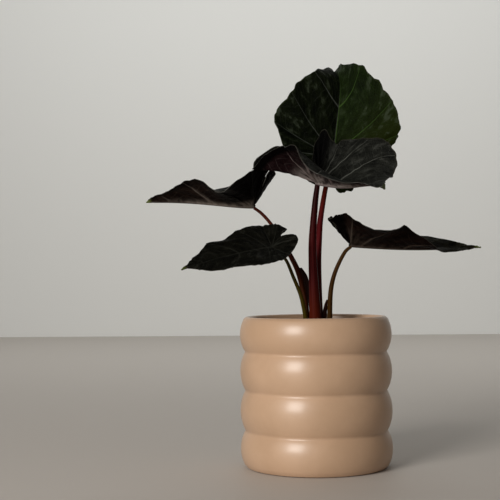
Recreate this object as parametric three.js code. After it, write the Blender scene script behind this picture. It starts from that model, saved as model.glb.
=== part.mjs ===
import * as THREE from 'three';
import { mergeVertices } from 'three/addons/utils/BufferGeometryUtils.js';

// A potted alocasia with five leaves. Millimetres, +Z up, the pot's base on Z = 0.

// Pot: four stacked rolls, hollow down to the floor.
const TURN = 40;                          // segments around
const SEAMS = [0, 36.6, 77.3, 116.7, 152]; // heights where one roll meets the next
const VALLEY = 72.4;                      // radius in a valley
const BULGE = 5.1;                        // how far a roll stands out of it
const POT_INSIDE = 67;
const POT_FLOOR = 8;

// Soil and corm.
const GAP = 0.3;                          // space left between pieces that touch
const SOIL_TOP = 138;
const CORM_RADIUS = 19;
const CORM_TOP = 139;

// Blades.
const THICK = 0.9;
const VEINS = 7;                          // spaces between side veins in each half
const STEPS = [0, 0.2, 0.5, 0.8];         // columns within one space
const TIP_STEPS = [0, 0.4, 0.6, 0.8];     // the same next to the tip
const NOTCH_STEPS = [0, 0.3, 0.6];        // and next to the notch
const ROWS = [0, 0.1, 0.24, 0.44, 0.65, 0.84, 1];
const PUFF = 0.8;                         // how far the blade swells between veins
const RIPPLE = 0.7;                       // wave of the edge from vein to vein

// Half outlines: [along, across]. Along is a share of the length, or of the lobe when negative.
const LOBED = [[1, 0], [0.95, 0.06], [0.87, 0.19], [0.76, 0.41], [0.61, 0.7], [0.44, 0.92],
  [0.27, 1], [0.11, 0.96], [-0.1, 0.83], [-0.5, 0.62], [-0.85, 0.4], [-1, 0.21], [-0.9, 0.11],
  [-0.6, 0.04], [-0.3, 0]];
const ROUND = [[1, 0], [0.95, 0.09], [0.87, 0.26], [0.76, 0.5], [0.61, 0.78], [0.44, 0.96],
  [0.27, 1], [0.11, 0.95], [-0.1, 0.88], [-0.54, 0.76], [-0.86, 0.6], [-1, 0.42], [-0.9, 0.24],
  [-0.6, 0.08], [-0.3, 0]];
const HEART = [[1, 0], [0.93, 0.055], [0.84, 0.17], [0.72, 0.38], [0.57, 0.64], [0.4, 0.86],
  [0.22, 0.98], [0.04, 0.99], [-0.32, 0.9], [-0.7, 0.72], [-0.93, 0.52], [-1, 0.36],
  [-0.84, 0.2], [-0.54, 0.07], [-0.3, 0]];

// pitch and sway bend the midrib up and sideways, lift raises each half (left, right), all in
// degrees from attachment to tip. back is the rise of each rear lobe and splay turns it outward.
// rise lifts the margin, in mm, every 15 degrees from the tip around over the left half. reach
// moves it outward and curl up, in mm, at each point of the half outline (left, right).
const BLADES = {
  blade_tall: {
    attach: [21, 36, 320], length: 120, half: 66, lobe: 40, notch: 14, heading: 90,
    outline: LOBED, pitch: [93, 92, 90, 80, 30, -40], sway: [-6, -7, -7, -2, 14, 26],
    back: [20, 5], splay: [0, 0],
    lift: [[18, 20, 24, 24, 14, 8], [18, 20, 24, 22, 10, 6]],
    rise: [0, 3, -2, 2, -3, 4, -2, 0, 2, 0, 0, 0, 0, 0, 0, 2, 0, -2, 3, -3, 2, -2, 0, 0],
    reach: [[0, -1.7, -0.1, -0.6, 1.2, 0, 2.2, -1.9, -2.4, -1.8, -4, -5.5, -5, -2, 0],
      [0, 7.3, -4.5, -5.7, -1.4, 2.4, 5.3, -2.8, 0.1, -0.7, -2, -2.7, 0, 0, 0]],
    curl: [[0, 4.7, -0.2, -0.5, -0.3, 0, -5.8, 0.5, 0.5, 0, 0, 0, 0, 0, 0],
      [0, 12, 6.8, 9.8, 1, -1.7, 2.7, 0.8, 0, 0.2, 0.2, 0.3, 0, 0, 0]],
  },
  blade_front: {
    attach: [4, -12, 288], length: 106, half: 67, lobe: 56, notch: 12, heading: -52,
    outline: ROUND, pitch: [-12, -10, -5, 0, -6, -22], sway: [0, 0, 0, 0, -4, -8],
    back: [62, 15], splay: [0, 32],
    lift: [[52, 54, 48, 36, 16, 8], [30, 34, 28, 10, 4, 0]],
    rise: [0, 0, 0, 0, 0, 0, 0, 0, 10, 4, -6, 0, 0, 18, 10, -8, 6, 8, 5, 0, 0, 0, 0, 0],
    reach: [[0, -2, -2.3, -1.6, 4.8, 4.6, -3.7, -1, -10, -8.7, -0.6, -8.1, -6.9, -1.2, 0],
      [0, 0.8, 0, 0, 0.1, -0.4, 0, 0.4, -1.5, 3, 4.2, 4.2, 0, 0, 0]],
    curl: [[0, 5.2, 3, 1.4, 0.4, 1, -2.3, -0.5, 6.5, -1.9, -0.5, 5.2, -4.7, -1, 0],
      [0, 0.8, -0.5, -0.2, -0.3, 0.3, 0, 0.5, -1.2, -9, -10.2, -12, 0, 0, 0]],
  },
  blade_upper_left: {
    attach: [-64, 16, 267], length: 122, half: 52, lobe: 38, notch: 18, heading: 164,
    outline: HEART, pitch: [2, 6, 6, 4, 2, 0], sway: [0, 0], back: [63, 67], splay: [0, 0],
    lift: [[36, 16, 30, 32, 22, 5], [40, 32, 28, 20, 15, 5]],
    rise: [0, 0, 0, 0, -3, -5, -2, 4, 8, 6, 0, 0, 0, 0, 0, 0, 0, 0, 0, 0, 0, 0, 0, 0],
    reach: [[0, 2.6, 2.1, 1.8, 0.4, -0.3, 0.8, 3, 0, -0.5, -0.7, 0, 0, 0, 0],
      [0, 0, 0, 0, 0, 0, 0, 0, 0, 0, 0.2, 0, -1, 0, 0]],
    curl: [[0, 3.8, 3, 2.1, 0.3, 1.1, 0.8, -7.6, 0, -0.3, -0.3, 0, 0, 0, 0],
      [0, 0, 0, 0, 0, 0, 0, 0, 0, 0, 1, 1, 0, 0, 0]],
  },
  blade_lower_left: {
    attach: [-43, -25, 223], length: 98, half: 42, lobe: 24, notch: 13, heading: 205,
    outline: HEART, pitch: [-8, -10, -12, -14, -16, -20], sway: [0, 0], back: [45, 40],
    splay: [0, 0], lift: [[-18, -20, -20, -15, -10, 0], [36, 35, 28, 22, 20, 15]],
    rise: [0, -3, -2, 0, 0, 0, -2, -5, -8, -8, -4, 0, 0, 0, 0, 3, 3, 3, 0, 0, 0, 0, 2, 3],
    reach: [[0, -0.5, 2.5, 0.6, 0.2, -0.4, 0.2, -2.9, -5.5, -6.5, -2.4, -3.3, -3.5, 0, 0],
      [0, 0.2, 1.4, 1.3, 1.8, -1.1, -1.9, 0, -1.8, -0.3, -0.1, 4.1, 1.5, 0, 0]],
    curl: [[0, -1, -3.4, -2.7, -1.8, 1.2, -0.7, 2.1, 3.2, 3.9, 0.8, 2.1, 0.8, 0, 0],
      [0, 1.5, 1.4, 1.5, 1.7, -1.3, -2.2, 0, -2.2, -0.6, -0.2, -5.1, -0.8, 0, 0]],
  },
  blade_right: {
    attach: [38, 6, 225], length: 140, half: 50, lobe: 38, notch: 14, heading: 13,
    outline: HEART, pitch: [-5, -4, -2, 0, 1, 5], sway: [0, 0], back: [45, 45], splay: [0, 0],
    lift: [[44, 30, 18, 18, 14, 5], [28, 20, 20, 16, 0, 0]],
    rise: [0, 0, 0, 0, 0, 0, 0, 0, 0, 0, 0, 0, 0, 0, -3, -4, 0, 0, -2, -4, -3, 5, 0, -7],
    reach: [[0, 2.1, 1.1, 1.4, 1, 0, 0.6, -0.7, -1.9, -3.6, -5.9, -6.4, 1.7, 0, 0],
      [0, -1.5, 0.4, -7, -3, -8.1, 8.6, -3.2, 0.1, -5.2, -5, -2.8, 4.5, 0.1, 0]],
    curl: [[0, 1.5, 2.8, 6.8, 4.4, 0, -5.5, -1.1, -2, -2.6, -2.6, -0.7, 0.8, 0, 0],
      [0, -1.3, -1.4, -0.9, -2, 3.5, -0.4, -1.2, 0.9, 10.9, 6.5, -2.1, 1, -2.1, 0]],
  },
};

// Stalks from foot to blade: points and radii.
const STALK_FOOT = CORM_TOP + GAP;
const STALKS = {
  stalk_front: {
    path: [[0, -7.5, STALK_FOOT], [0, -7, 151], [-1, -8, 179], [-2, -9, 208], [-2, -10, 232],
      [1, -11.5, 267], [3.5, -12, 283.5]],
    radii: [6.5, 6, 4.9, 4.2, 3.7, 3, 2.4],
  },
  stalk_tall: {
    path: [[3, 7.5, STALK_FOOT], [3, 7.5, 150], [2.7, 10, 179], [3, 14, 208], [4.6, 20, 233],
      [6.6, 28, 254], [12, 40, 285], [17, 45, 305], [20.7, 41.3, 318]],
    radii: [5.6, 5.1, 4.5, 3.9, 3.4, 3, 2.6, 2.4, 2.1],
  },
  stalk_upper_left: {
    path: [[-9, 4.5, STALK_FOOT], [-8.5, 4.5, 150], [-10, 6, 166], [-13.5, 9, 184],
      [-18, 12, 200], [-25.5, 15, 215.5], [-35, 17.5, 232.5], [-45, 18, 248], [-54.5, 17.5, 259],
      [-61.6, 16.3, 263.4]],
    radii: [2.7, 2.4, 2.3, 2.2, 2.1, 2, 1.9, 1.8, 1.7, 1.5],
  },
  stalk_lower_left: {
    path: [[-10.7, -5, STALK_FOOT], [-10, -5.5, 150], [-12, -7, 163], [-15.3, -9, 176],
      [-22, -13, 193], [-28.5, -18, 209], [-35.5, -22, 216.5], [-41, -24.6, 219.2]],
    radii: [2.8, 2.4, 2.2, 2, 1.8, 1.6, 1.5, 1.4],
  },
  stalk_right: {
    path: [[15, 0, STALK_FOOT], [14.7, 0, 150], [15.6, 0, 173], [18, 1, 188], [23, 2, 202.5],
      [31, 4, 217.5], [36, 5.6, 221]],
    radii: [2.7, 2.5, 2.2, 2, 1.9, 1.8, 1.6],
  },
};

// Sheath wings: height, then inner and outer end [x, y] of the strip at that height.
const SHEATHS = {
  sheath_left: [
    [STALK_FOOT, [-5.6, 1.2], [-3.4, 2.6]], [151, [-5.4, 1.6], [-3, 3.2]],
    [166, [-7, 2.8], [-3.4, 2.4]], [180, [-9.6, 4.6], [-4.6, 1.6]],
    [190, [-12, 6.4], [-6.6, 2]], [197, [-14, 8], [-9.6, 4.4]], [202, [-16, 9.4], [-13.6, 8]],
  ],
  sheath_right: [
    [STALK_FOOT, [7.2, -3.4], [11.6, -1]], [151, [7, -3.6], [11.5, -1]],
    [158, [7.8, -3], [11.9, -0.8]], [164, [9.4, -2], [12.3, -0.6]],
    [169, [11.4, -1], [12.8, -0.2]],
  ],
};

const COLORS = {
  pot: '#b79069',
  soil: '#3a2a1f',
  corm: '#6b4a35',
  stalk_front: '#7c2430',
  stalk_tall: '#85303a',
  stalk_upper_left: '#6d4a38',
  stalk_lower_left: '#6f6a3c',
  stalk_right: '#6c5a3b',
  sheath_left: '#4a2a22',
  sheath_right: '#4a2a22',
  blade_tall: '#3f5a2a',
  blade_front: '#3a453a',
  blade_upper_left: '#2c3029',
  blade_lower_left: '#2f362d',
  blade_right: '#2e322a',
};

// Smooth curve through evenly spaced values, x from 0 to 1.
function through(values, x) {
  const last = values.length - 1;
  const spot = Math.min(Math.max(x, 0), 1) * last;
  const i = Math.min(Math.floor(spot), last - 1);
  const f = spot - i;
  const at = (k) => {
    if (k < 0) return 2 * values[0] - values[1];
    if (k > last) return 2 * values[last] - values[last - 1];
    return values[k];
  };
  return cubic(at(i - 1), at(i), at(i + 1), at(i + 2), f);
}

// The same around a closed ring of values.
function around(values, x) {
  const n = values.length;
  const i = Math.floor(x);
  const at = (k) => values[((k % n) + n) % n];
  return cubic(at(i - 1), at(i), at(i + 1), at(i + 2), x - i);
}

function cubic(a, b, c, d, f) {
  const square = (2 * a - 5 * b + 4 * c - d) * f * f;
  const cube = (3 * b - a - 3 * c + d) * f * f * f;
  return 0.5 * (2 * b + (c - a) * f + square + cube);
}

function smooth(x) {
  const t = Math.min(Math.max(x, 0), 1);
  return t * t * (3 - 2 * t);
}

const radians = THREE.MathUtils.degToRad;

// Closed mesh from points and triangles.
function solid(points, faces) {
  const geometry = new THREE.BufferGeometry();
  const flat = points.flatMap((p) => [p.x, p.y, p.z]);
  geometry.setAttribute('position', new THREE.Float32BufferAttribute(flat, 3));
  geometry.setIndex(faces.flat());
  geometry.computeVertexNormals();
  return geometry;
}

function lathe(profile) {
  const points = profile.map(([r, z]) => new THREE.Vector2(r, z));
  const geometry = new THREE.LatheGeometry(points, TURN);
  geometry.rotateX(Math.PI / 2);
  return geometry;
}

// Pot

function rollPoints(low, high, segments) {
  const middle = (low + high) / 2;
  const chord = (high - low) / 2;
  const radius = (chord * chord + BULGE * BULGE) / (2 * BULGE);
  const points = [];
  for (let i = 0; i <= segments; i += 1) {
    const z = low + ((high - low) * i) / segments;
    const out = Math.sqrt(radius * radius - (z - middle) ** 2) - radius + BULGE;
    points.push([VALLEY + out, z]);
  }
  return points;
}

function potProfile() {
  const profile = [[0, 0], [70.6, 0], [71.9, 0.9]];
  for (let i = 0; i < 4; i += 1) {
    const points = rollPoints(SEAMS[i], SEAMS[i + 1], 8);
    profile.push(...points.slice(1, i < 3 ? 9 : 8));
  }
  profile.push([72.4, 151], [71.2, 152], [69.2, 152.3], [67.8, 151.6], [POT_INSIDE, 150.2]);
  profile.push([POT_INSIDE, POT_FLOOR + 4], [POT_INSIDE - 4, POT_FLOOR], [0, POT_FLOOR]);
  return profile;
}

// Soil: fills the pot below the rim, with a round pocket for the corm.

function soil() {
  const side = POT_INSIDE - GAP;
  const pocket = CORM_RADIUS + 0.4;
  const floor = POT_FLOOR + GAP;
  const profile = [[0, floor], [side - 3.9, floor], [side, floor + 3.9], [side, SOIL_TOP - 1]];
  for (const r of [60, 50, 40, 30, 24]) {
    profile.push([r, SOIL_TOP]);
  }
  profile.push([pocket, SOIL_TOP - 1], [pocket, 121], [pocket - 4, 112], [0, 109]);
  const geometry = mergeVertices(stripped(lathe(profile)));
  const place = geometry.getAttribute('position');
  for (let i = 0; i < place.count; i += 1) {
    if (place.getZ(i) === SOIL_TOP) {
      const x = place.getX(i);
      const y = place.getY(i);
      const bump = Math.sin(x * 0.19 + 1) * Math.cos(y * 0.23) + Math.sin((x + y) * 0.41);
      place.setZ(i, SOIL_TOP + 0.8 * bump);
    }
  }
  geometry.computeVertexNormals();
  return geometry;
}

function stripped(geometry) {
  geometry.deleteAttribute('normal');
  geometry.deleteAttribute('uv');
  return geometry;
}

function corm() {
  return lathe([[0, 109.5], [CORM_RADIUS - 4.2, 112.4], [CORM_RADIUS, 121.2],
    [CORM_RADIUS, CORM_TOP - 1.6], [CORM_RADIUS - 0.8, CORM_TOP], [0, CORM_TOP]]);
}

// Stalks: rings of twelve points along a smooth path.

function stalk({ path, radii }) {
  const sides = 12;
  const rings = (path.length - 1) * 2;
  const axis = (u) => new THREE.Vector3(
    through(path.map((p) => p[0]), u),
    through(path.map((p) => p[1]), u),
    through(path.map((p) => p[2]), u),
  );
  const points = [];
  const faces = [];
  let side = new THREE.Vector3(1, 0, 0);
  for (let i = 0; i <= rings; i += 1) {
    const u = i / rings;
    const center = i === 0 ? new THREE.Vector3(...path[0]) : axis(u);
    const along = axis(Math.min(u + 0.01, 1)).sub(axis(Math.max(u - 0.01, 0))).normalize();
    if (i === 0) along.set(0, 0, 1);
    side = side.clone().addScaledVector(along, -side.dot(along)).normalize();
    const other = along.clone().cross(side);
    const radius = through(radii, u);
    for (let k = 0; k < sides; k += 1) {
      const angle = (2 * Math.PI * k) / sides;
      points.push(center.clone()
        .addScaledVector(side, radius * Math.cos(angle))
        .addScaledVector(other, radius * Math.sin(angle)));
    }
  }
  for (let i = 0; i < rings; i += 1) {
    for (let k = 0; k < sides; k += 1) {
      const a = i * sides + k;
      const b = i * sides + ((k + 1) % sides);
      faces.push([a, b, b + sides], [a, b + sides, a + sides]);
    }
  }
  const top = rings * sides;
  for (let k = 1; k < sides - 1; k += 1) {
    faces.push([0, k + 1, k], [top, top + k, top + k + 1]);
  }
  return solid(points, faces);
}

// Sheath wings: a thin bowed strip between two stalks, drawn to a point at the top.

function sheath(stations) {
  const points = [];
  const faces = [];
  const across = 4;
  const width = across + 1;
  const half = 0.4;
  for (const [z, inner, outer] of stations) {
    const start = new THREE.Vector3(inner[0], inner[1], z);
    const end = new THREE.Vector3(outer[0], outer[1], z);
    const face = new THREE.Vector3(start.y - end.y, end.x - start.x, 0).normalize();
    for (const turn of [-1, 1]) {
      for (let k = 0; k < width; k += 1) {
        const f = k / across;
        const bow = -0.8 * 4 * f * (1 - f) * Math.min(1, start.distanceTo(end) / 5);
        points.push(start.clone().lerp(end, f).addScaledVector(face, bow + turn * half));
      }
    }
  }
  const ring = 2 * width;
  const order = [];
  for (let k = 0; k < width; k += 1) order.push(k);
  for (let k = width - 1; k >= 0; k -= 1) order.push(width + k);
  for (let i = 0; i < stations.length - 1; i += 1) {
    for (let k = 0; k < ring; k += 1) {
      const a = i * ring + order[k];
      const b = i * ring + order[(k + 1) % ring];
      faces.push([a, b, b + ring], [a, b + ring, a + ring]);
    }
  }
  const top = (stations.length - 1) * ring;
  for (let k = 0; k < across; k += 1) {
    const a = k;
    const b = width + k;
    faces.push([a, b, b + 1], [a, b + 1, a + 1]);
    faces.push([top + a, top + b + 1, top + b], [top + a, top + a + 1, top + b + 1]);
  }
  return solid(points, faces);
}

// Blades

function mixed(first, a, second, b) {
  return first.clone().multiplyScalar(a).addScaledVector(second, b);
}

// Stations along the midrib: point, direction, sideways and upward.
function spine(blade) {
  const count = 240;
  const heading = radians(blade.heading);
  const ahead = new THREE.Vector3(Math.cos(heading), Math.sin(heading), 0);
  const left = new THREE.Vector3(-Math.sin(heading), Math.cos(heading), 0);
  const up = new THREE.Vector3(0, 0, 1);
  const stations = [];
  const point = new THREE.Vector3(...blade.attach);
  let before = null;
  for (let i = 0; i <= count; i += 1) {
    const pitch = radians(through(blade.pitch, i / count));
    const sway = radians(through(blade.sway, i / count));
    const along = mixed(ahead, Math.cos(pitch), up, Math.sin(pitch));
    const normal = mixed(up, Math.cos(pitch), ahead, -Math.sin(pitch));
    const tangent = mixed(along, Math.cos(sway), left, Math.sin(sway));
    const side = mixed(left, Math.cos(sway), along, -Math.sin(sway));
    if (before) {
      const step = blade.length / count / 2;
      point.addScaledVector(before, step).addScaledVector(tangent, step);
    }
    before = tangent;
    stations.push({ point: point.clone(), tangent, side, normal });
  }
  return stations;
}

function stationAt(blade, s) {
  const last = blade.spine.length - 1;
  const spot = Math.min(Math.max(s / blade.length, 0), 1) * last;
  const i = Math.min(Math.floor(spot), last - 1);
  const from = blade.spine[i];
  const to = blade.spine[i + 1];
  return {
    point: from.point.clone().lerp(to.point, spot - i),
    side: from.side.clone().lerp(to.side, spot - i),
    normal: from.normal.clone().lerp(to.normal, spot - i),
  };
}

// A flat point (s along, t across) of one half, side 1 left and -1 right, bent into place.
function place(blade, s, t, side) {
  const which = side > 0 ? 0 : 1;
  if (s >= 0) {
    const { point, side: across, normal } = stationAt(blade, s);
    const lift = radians(through(blade.lift[which], s / blade.length));
    point.addScaledVector(across, side * Math.cos(lift) * t);
    point.addScaledVector(normal, Math.sin(lift) * t);
    normal.multiplyScalar(Math.cos(lift)).addScaledVector(across, -side * Math.sin(lift));
    return { point, normal };
  }
  const base = blade.spine[0];
  const reach = Math.hypot(s, t);
  const turn = Math.atan2(-s, t);
  const behind = smooth(turn / radians(75));
  const apart = smooth((Math.PI / 2 - turn) / radians(12));
  const shared = (blade.back[0] + blade.back[1]) / 2;
  const rear = shared + (blade.back[which] - shared) * apart;
  const first = blade.lift[which][0];
  const climb = radians(first + (rear - first) * behind);
  const swing = turn * (1 - (blade.splay[which] / 90) * apart * behind);
  const flat = base.side.clone().multiplyScalar(side * Math.cos(swing));
  flat.addScaledVector(base.tangent, -Math.sin(swing));
  const point = base.point.clone().addScaledVector(flat, reach * Math.cos(climb));
  point.addScaledVector(base.normal, reach * Math.sin(climb));
  const normal = base.normal.clone().multiplyScalar(Math.cos(climb));
  normal.addScaledVector(flat, -Math.sin(climb));
  return { point, normal };
}

// Flat point of the half outline, w from tip to notch.
function outline(blade, w) {
  const along = blade.outline.map(([a]) => a * (a < 0 ? blade.lobe : blade.length));
  const across = blade.outline.map(([, b]) => b * blade.half);
  along[along.length - 1] = -blade.notch;
  return [through(along, w), through(across, w)];
}

// Flat margin point: the outline pushed outward by the reach of that half.
function margin(blade, w, side) {
  const [s, t] = outline(blade, w);
  const [aheadS, aheadT] = outline(blade, w + 0.01);
  const [behindS, behindT] = outline(blade, w - 0.01);
  const step = Math.hypot(aheadS - behindS, aheadT - behindT);
  const push = through(blade.reach[side > 0 ? 0 : 1], w) / step;
  return [s + push * (aheadT - behindT), t - push * (aheadS - behindS)];
}

// Where on the midrib a column starts: it leans forward, and from the widest part back they
// all start at the attachment.
function rootOf(blade, w) {
  const [s, t] = outline(blade, w);
  const start = s - (1 - 0.8 * (2 * w) ** 2) * t;
  return w < 0.5 && start > 1 ? start : 0;
}

// Upper face point of one half: w runs around the margin from tip to notch, f from rib to margin.
function bladePoint(blade, side, w, f) {
  const edge = margin(blade, w, side);
  const start = rootOf(blade, w);
  const bow = w < 0.5 ? 0.03 * blade.length * Math.sin(2 * Math.PI * w) : 0;
  const s = start + (edge[0] - start) * f - bow * 4 * f * (1 - f);
  const t = edge[1] * f;
  const { point, normal } = place(blade, s, t, side);
  const angle = (THREE.MathUtils.radToDeg(Math.atan2(edge[1], edge[0])) * side + 360) % 360;
  const vein = w * VEINS;
  const middle = 4 * f * (1 - f) * Math.min(1, Math.hypot(s, t) / 30);
  const swell = Math.sin(Math.PI * vein) ** 2 * middle;
  const wave = w > 0.02 && w < 0.98 ? Math.cos(2 * Math.PI * vein) * f ** 3 : 0;
  const lifted = around(blade.rise, angle / 15) + through(blade.curl[side > 0 ? 0 : 1], w);
  const height = lifted * f ** 1.8 + PUFF * swell + RIPPLE * wave;
  return point.addScaledVector(normal, height);
}

// Normals of the upper face, evened out so the lower face keeps clear of itself in tight folds.
function evenNormals(points, faces) {
  let normals = points.map(() => new THREE.Vector3());
  const near = points.map(() => new Set());
  for (const [a, b, c] of faces) {
    const first = points[b].clone().sub(points[a]);
    const second = points[c].clone().sub(points[a]);
    const normal = first.cross(second);
    for (const k of [a, b, c]) {
      normals[k].add(normal);
      for (const other of [a, b, c]) near[k].add(other);
    }
  }
  normals.forEach((normal) => normal.normalize());
  for (let pass = 0; pass < 10; pass += 1) {
    normals = normals.map((normal, k) => {
      const sum = new THREE.Vector3();
      for (const other of near[k]) sum.add(normals[other]);
      return sum.divideScalar(near[k].size).add(normal).normalize();
    });
  }
  return normals;
}

function blade(settings) {
  const leaf = { ...settings };
  leaf.spine = spine(leaf);
  const columns = [];
  for (let k = 0; k < VEINS; k += 1) {
    let steps = k === 0 ? TIP_STEPS : STEPS;
    if (k === VEINS - 1) steps = NOTCH_STEPS;
    for (const step of steps) columns.push({ w: (k + step) / VEINS, vein: step === 0 && k > 0 });
  }
  columns.push({ w: 1, vein: false });
  const last = columns.length - 1;
  const points = [];
  const depths = [];
  const names = new Map();

  // Both halves share the tip, the midrib, the attachment and the line back to the notch.
  const vertex = (side, column, row) => {
    const { w, vein } = columns[column];
    const f = ROWS[row];
    let name = `${side} ${column} ${row}`;
    if (column === 0) name = 'tip';
    else if (row === 0) name = rootOf(leaf, w) > 0 ? `rib ${column}` : 'attachment';
    else if (column === last) name = `notch ${row}`;
    if (!names.has(name)) {
      names.set(name, points.length);
      points.push(bladePoint(leaf, side, w, column === 0 ? 0 : f));
      let rib = vein ? 2 * f * (1 - f) : 0;
      if (row === 0) rib = Math.min(1, 0.1 + 2 * w);
      depths.push(THICK + rib);
    }
    return names.get(name);
  };

  const upper = [];
  const rim = [];
  for (const side of [1, -1]) {
    for (let c = 0; c < last; c += 1) {
      for (let r = 0; r < ROWS.length - 1; r += 1) {
        const a = vertex(side, c, r);
        const b = vertex(side, c + 1, r);
        const d = vertex(side, c, r + 1);
        const e = vertex(side, c + 1, r + 1);
        for (const face of [[a, e, b], [a, d, e]]) {
          if (new Set(face).size === 3) upper.push(side > 0 ? face : face.slice().reverse());
        }
      }
      const from = vertex(side, c, ROWS.length - 1);
      const to = vertex(side, c + 1, ROWS.length - 1);
      rim.push(side > 0 ? [from, to] : [to, from]);
    }
  }

  // The lower face follows the upper one at the thickness, deeper along the ribs.
  const count = points.length;
  const normals = evenNormals(points, upper);
  const lower = points.map((p, k) => p.clone().addScaledVector(normals[k], -depths[k]));
  const faces = [...upper, ...upper.map(([a, b, c]) => [c + count, b + count, a + count])];
  for (const [a, b] of rim) {
    faces.push([a, b + count, b], [a, a + count, b + count]);
  }
  return solid([...points, ...lower], faces);
}

// The whole plant

const plant = new THREE.Group();

function add(name, geometry, roughness) {
  const material = new THREE.MeshStandardMaterial({ color: COLORS[name], roughness });
  const mesh = new THREE.Mesh(geometry, material);
  mesh.name = name;
  plant.add(mesh);
}

add('pot', lathe(potProfile()), 0.35);
add('soil', soil(), 0.95);
add('corm', corm(), 0.8);
for (const [name, settings] of Object.entries(STALKS)) {
  add(name, stalk(settings), 0.5);
}
for (const [name, stations] of Object.entries(SHEATHS)) {
  add(name, sheath(stations), 0.6);
}
for (const [name, settings] of Object.entries(BLADES)) {
  add(name, blade(settings), 0.55);
}

export default plant;
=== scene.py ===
# %% [markdown]
# # A potted alocasia
#
# A young velvet-leaved plant in a tan pot made of four stacked rolls. Five blades stand on five
# stalks. The solids of the part are loaded first as a fixed frame. Every piece made below takes
# the place of one of them, in the same metres, and keeps its form while adding the fine detail.

# %% Load the frame
import math

import bpy
import numpy as np
from mathutils import Matrix, Vector, noise


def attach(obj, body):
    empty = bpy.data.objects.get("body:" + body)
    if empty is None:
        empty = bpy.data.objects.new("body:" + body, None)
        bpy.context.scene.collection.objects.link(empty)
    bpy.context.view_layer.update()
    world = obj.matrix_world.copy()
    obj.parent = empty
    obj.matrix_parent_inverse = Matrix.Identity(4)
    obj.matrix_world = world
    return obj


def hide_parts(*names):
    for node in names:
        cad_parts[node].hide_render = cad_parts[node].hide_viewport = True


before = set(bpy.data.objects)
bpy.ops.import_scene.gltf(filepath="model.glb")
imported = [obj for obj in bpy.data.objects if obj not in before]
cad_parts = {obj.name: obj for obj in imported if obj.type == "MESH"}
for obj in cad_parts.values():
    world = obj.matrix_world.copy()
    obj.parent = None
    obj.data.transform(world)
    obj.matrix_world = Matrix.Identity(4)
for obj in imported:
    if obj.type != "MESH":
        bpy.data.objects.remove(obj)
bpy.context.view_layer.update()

MM = 0.001
print("nodes to dress:", sorted(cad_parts))

# %% [markdown]
# ## The view
#
# The photograph was taken almost level with the pot's rim, from a little over a metre away. A
# camera is placed by a matrix here, because three directions (right, up and backward) say more
# clearly where it looks than three turns would. The tilt of the picture is half a degree.

# %% Camera
CAMERA_PLACE = Vector((0, -1.132, 0.1908))
CAMERA_YAW = math.radians(-3.36)
CAMERA_PITCH = math.radians(1.52)
CAMERA_ROLL = math.radians(0.54)
CAMERA_LENS = 79.2
SENSOR_WIDTH = 36


def make_camera():
    forward = Vector((math.sin(CAMERA_YAW) * math.cos(CAMERA_PITCH),
                      math.cos(CAMERA_YAW) * math.cos(CAMERA_PITCH), math.sin(CAMERA_PITCH)))
    level = Vector((math.cos(CAMERA_YAW), -math.sin(CAMERA_YAW), 0))
    up = level.cross(forward)
    right = level * math.cos(CAMERA_ROLL) - up * math.sin(CAMERA_ROLL)
    top = level * math.sin(CAMERA_ROLL) + up * math.cos(CAMERA_ROLL)
    bpy.ops.object.camera_add()
    camera = bpy.context.object
    camera.name = "view"
    camera.data.lens = CAMERA_LENS
    camera.data.sensor_width = SENSOR_WIDTH
    turn = Matrix((right, top, -forward)).transposed().to_4x4()
    camera.matrix_world = Matrix.Translation(CAMERA_PLACE) @ turn
    bpy.context.scene.camera = camera


make_camera()
print("camera", round(CAMERA_PLACE.length, 3), "m from the pot's foot")

# %% [markdown]
# ## Light
#
# The plant stands by a window: one soft light in front and to the left, about twenty degrees
# up. A sun would cast hard shadows, so the light is a rectangle of a window's size. It gives
# each roll of the pot a soft highlight and lets the right side fall into shade. A second light
# washes the wall, and a weak warm world fills the shadows.

# %% Light
LIGHTS = {
    "window": dict(place=(-1.08, -1.67, 0.85), target=(0, 0, 0.2), size=(0.8, 0.9), power=37,
                   color=(1, 0.97, 0.93)),
    "wall wash": dict(place=(0, 1.2, 1.8), target=(0, 2.6, 0.2), size=(3, 0.5), power=21,
                      color=(0.97, 1, 1)),
}
FILL_COLOR = (1, 0.93, 0.85, 1)
FILL_STRENGTH = 0.145


def make_light(name, place, target, size, power, color):
    bpy.ops.object.light_add(type="AREA", location=place)
    light = bpy.context.object
    light.name = name
    light.data.shape = "RECTANGLE"
    light.data.size, light.data.size_y = size
    light.data.energy = power
    light.data.color = color
    aim = Vector(target) - Vector(place)
    light.rotation_euler = aim.to_track_quat("-Z", "Y").to_euler()


scene = bpy.context.scene
scene.view_settings.view_transform = "Standard"
for name, light in LIGHTS.items():
    make_light(name, **light)
scene.world = bpy.data.worlds.new("room light")
scene.world.use_nodes = True
fill = scene.world.node_tree.nodes["Background"].inputs
fill["Color"].default_value = FILL_COLOR
fill["Strength"].default_value = FILL_STRENGTH
print("lights", list(LIGHTS))

# %% [markdown]
# ## Floor and wall
#
# The plant needs something to stand on and to be seen against. Two plain planes are enough,
# and they aren't part of the plant. Their finish needs the first helper for materials, which
# sets the sockets of a shader by name.

# %% Stage
FLOOR_SIZE = 8
FLOOR_CENTRE = (0, 1, -0.5 * MM)
WALL_SIZE = 12
WALL_CENTRE = (0, 2.6, 3)


def new_material(name, **sockets):
    """A material, its node tree and its shader, with some sockets of the shader set."""
    material = bpy.data.materials.new(name)
    material.use_nodes = True
    shader = material.node_tree.nodes["Principled BSDF"]
    for key, value in sockets.items():
        shader.inputs[key.replace("_", " ")].default_value = value
    return material, material.node_tree, shader


def stage_piece(name, color, roughness):
    """Names the plane that was just added and gives it a plain finish."""
    piece = bpy.context.object
    piece.name = name
    material = new_material("pale " + name, Base_Color=(*color, 1), Roughness=roughness)[0]
    piece.data.materials.append(material)


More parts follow.
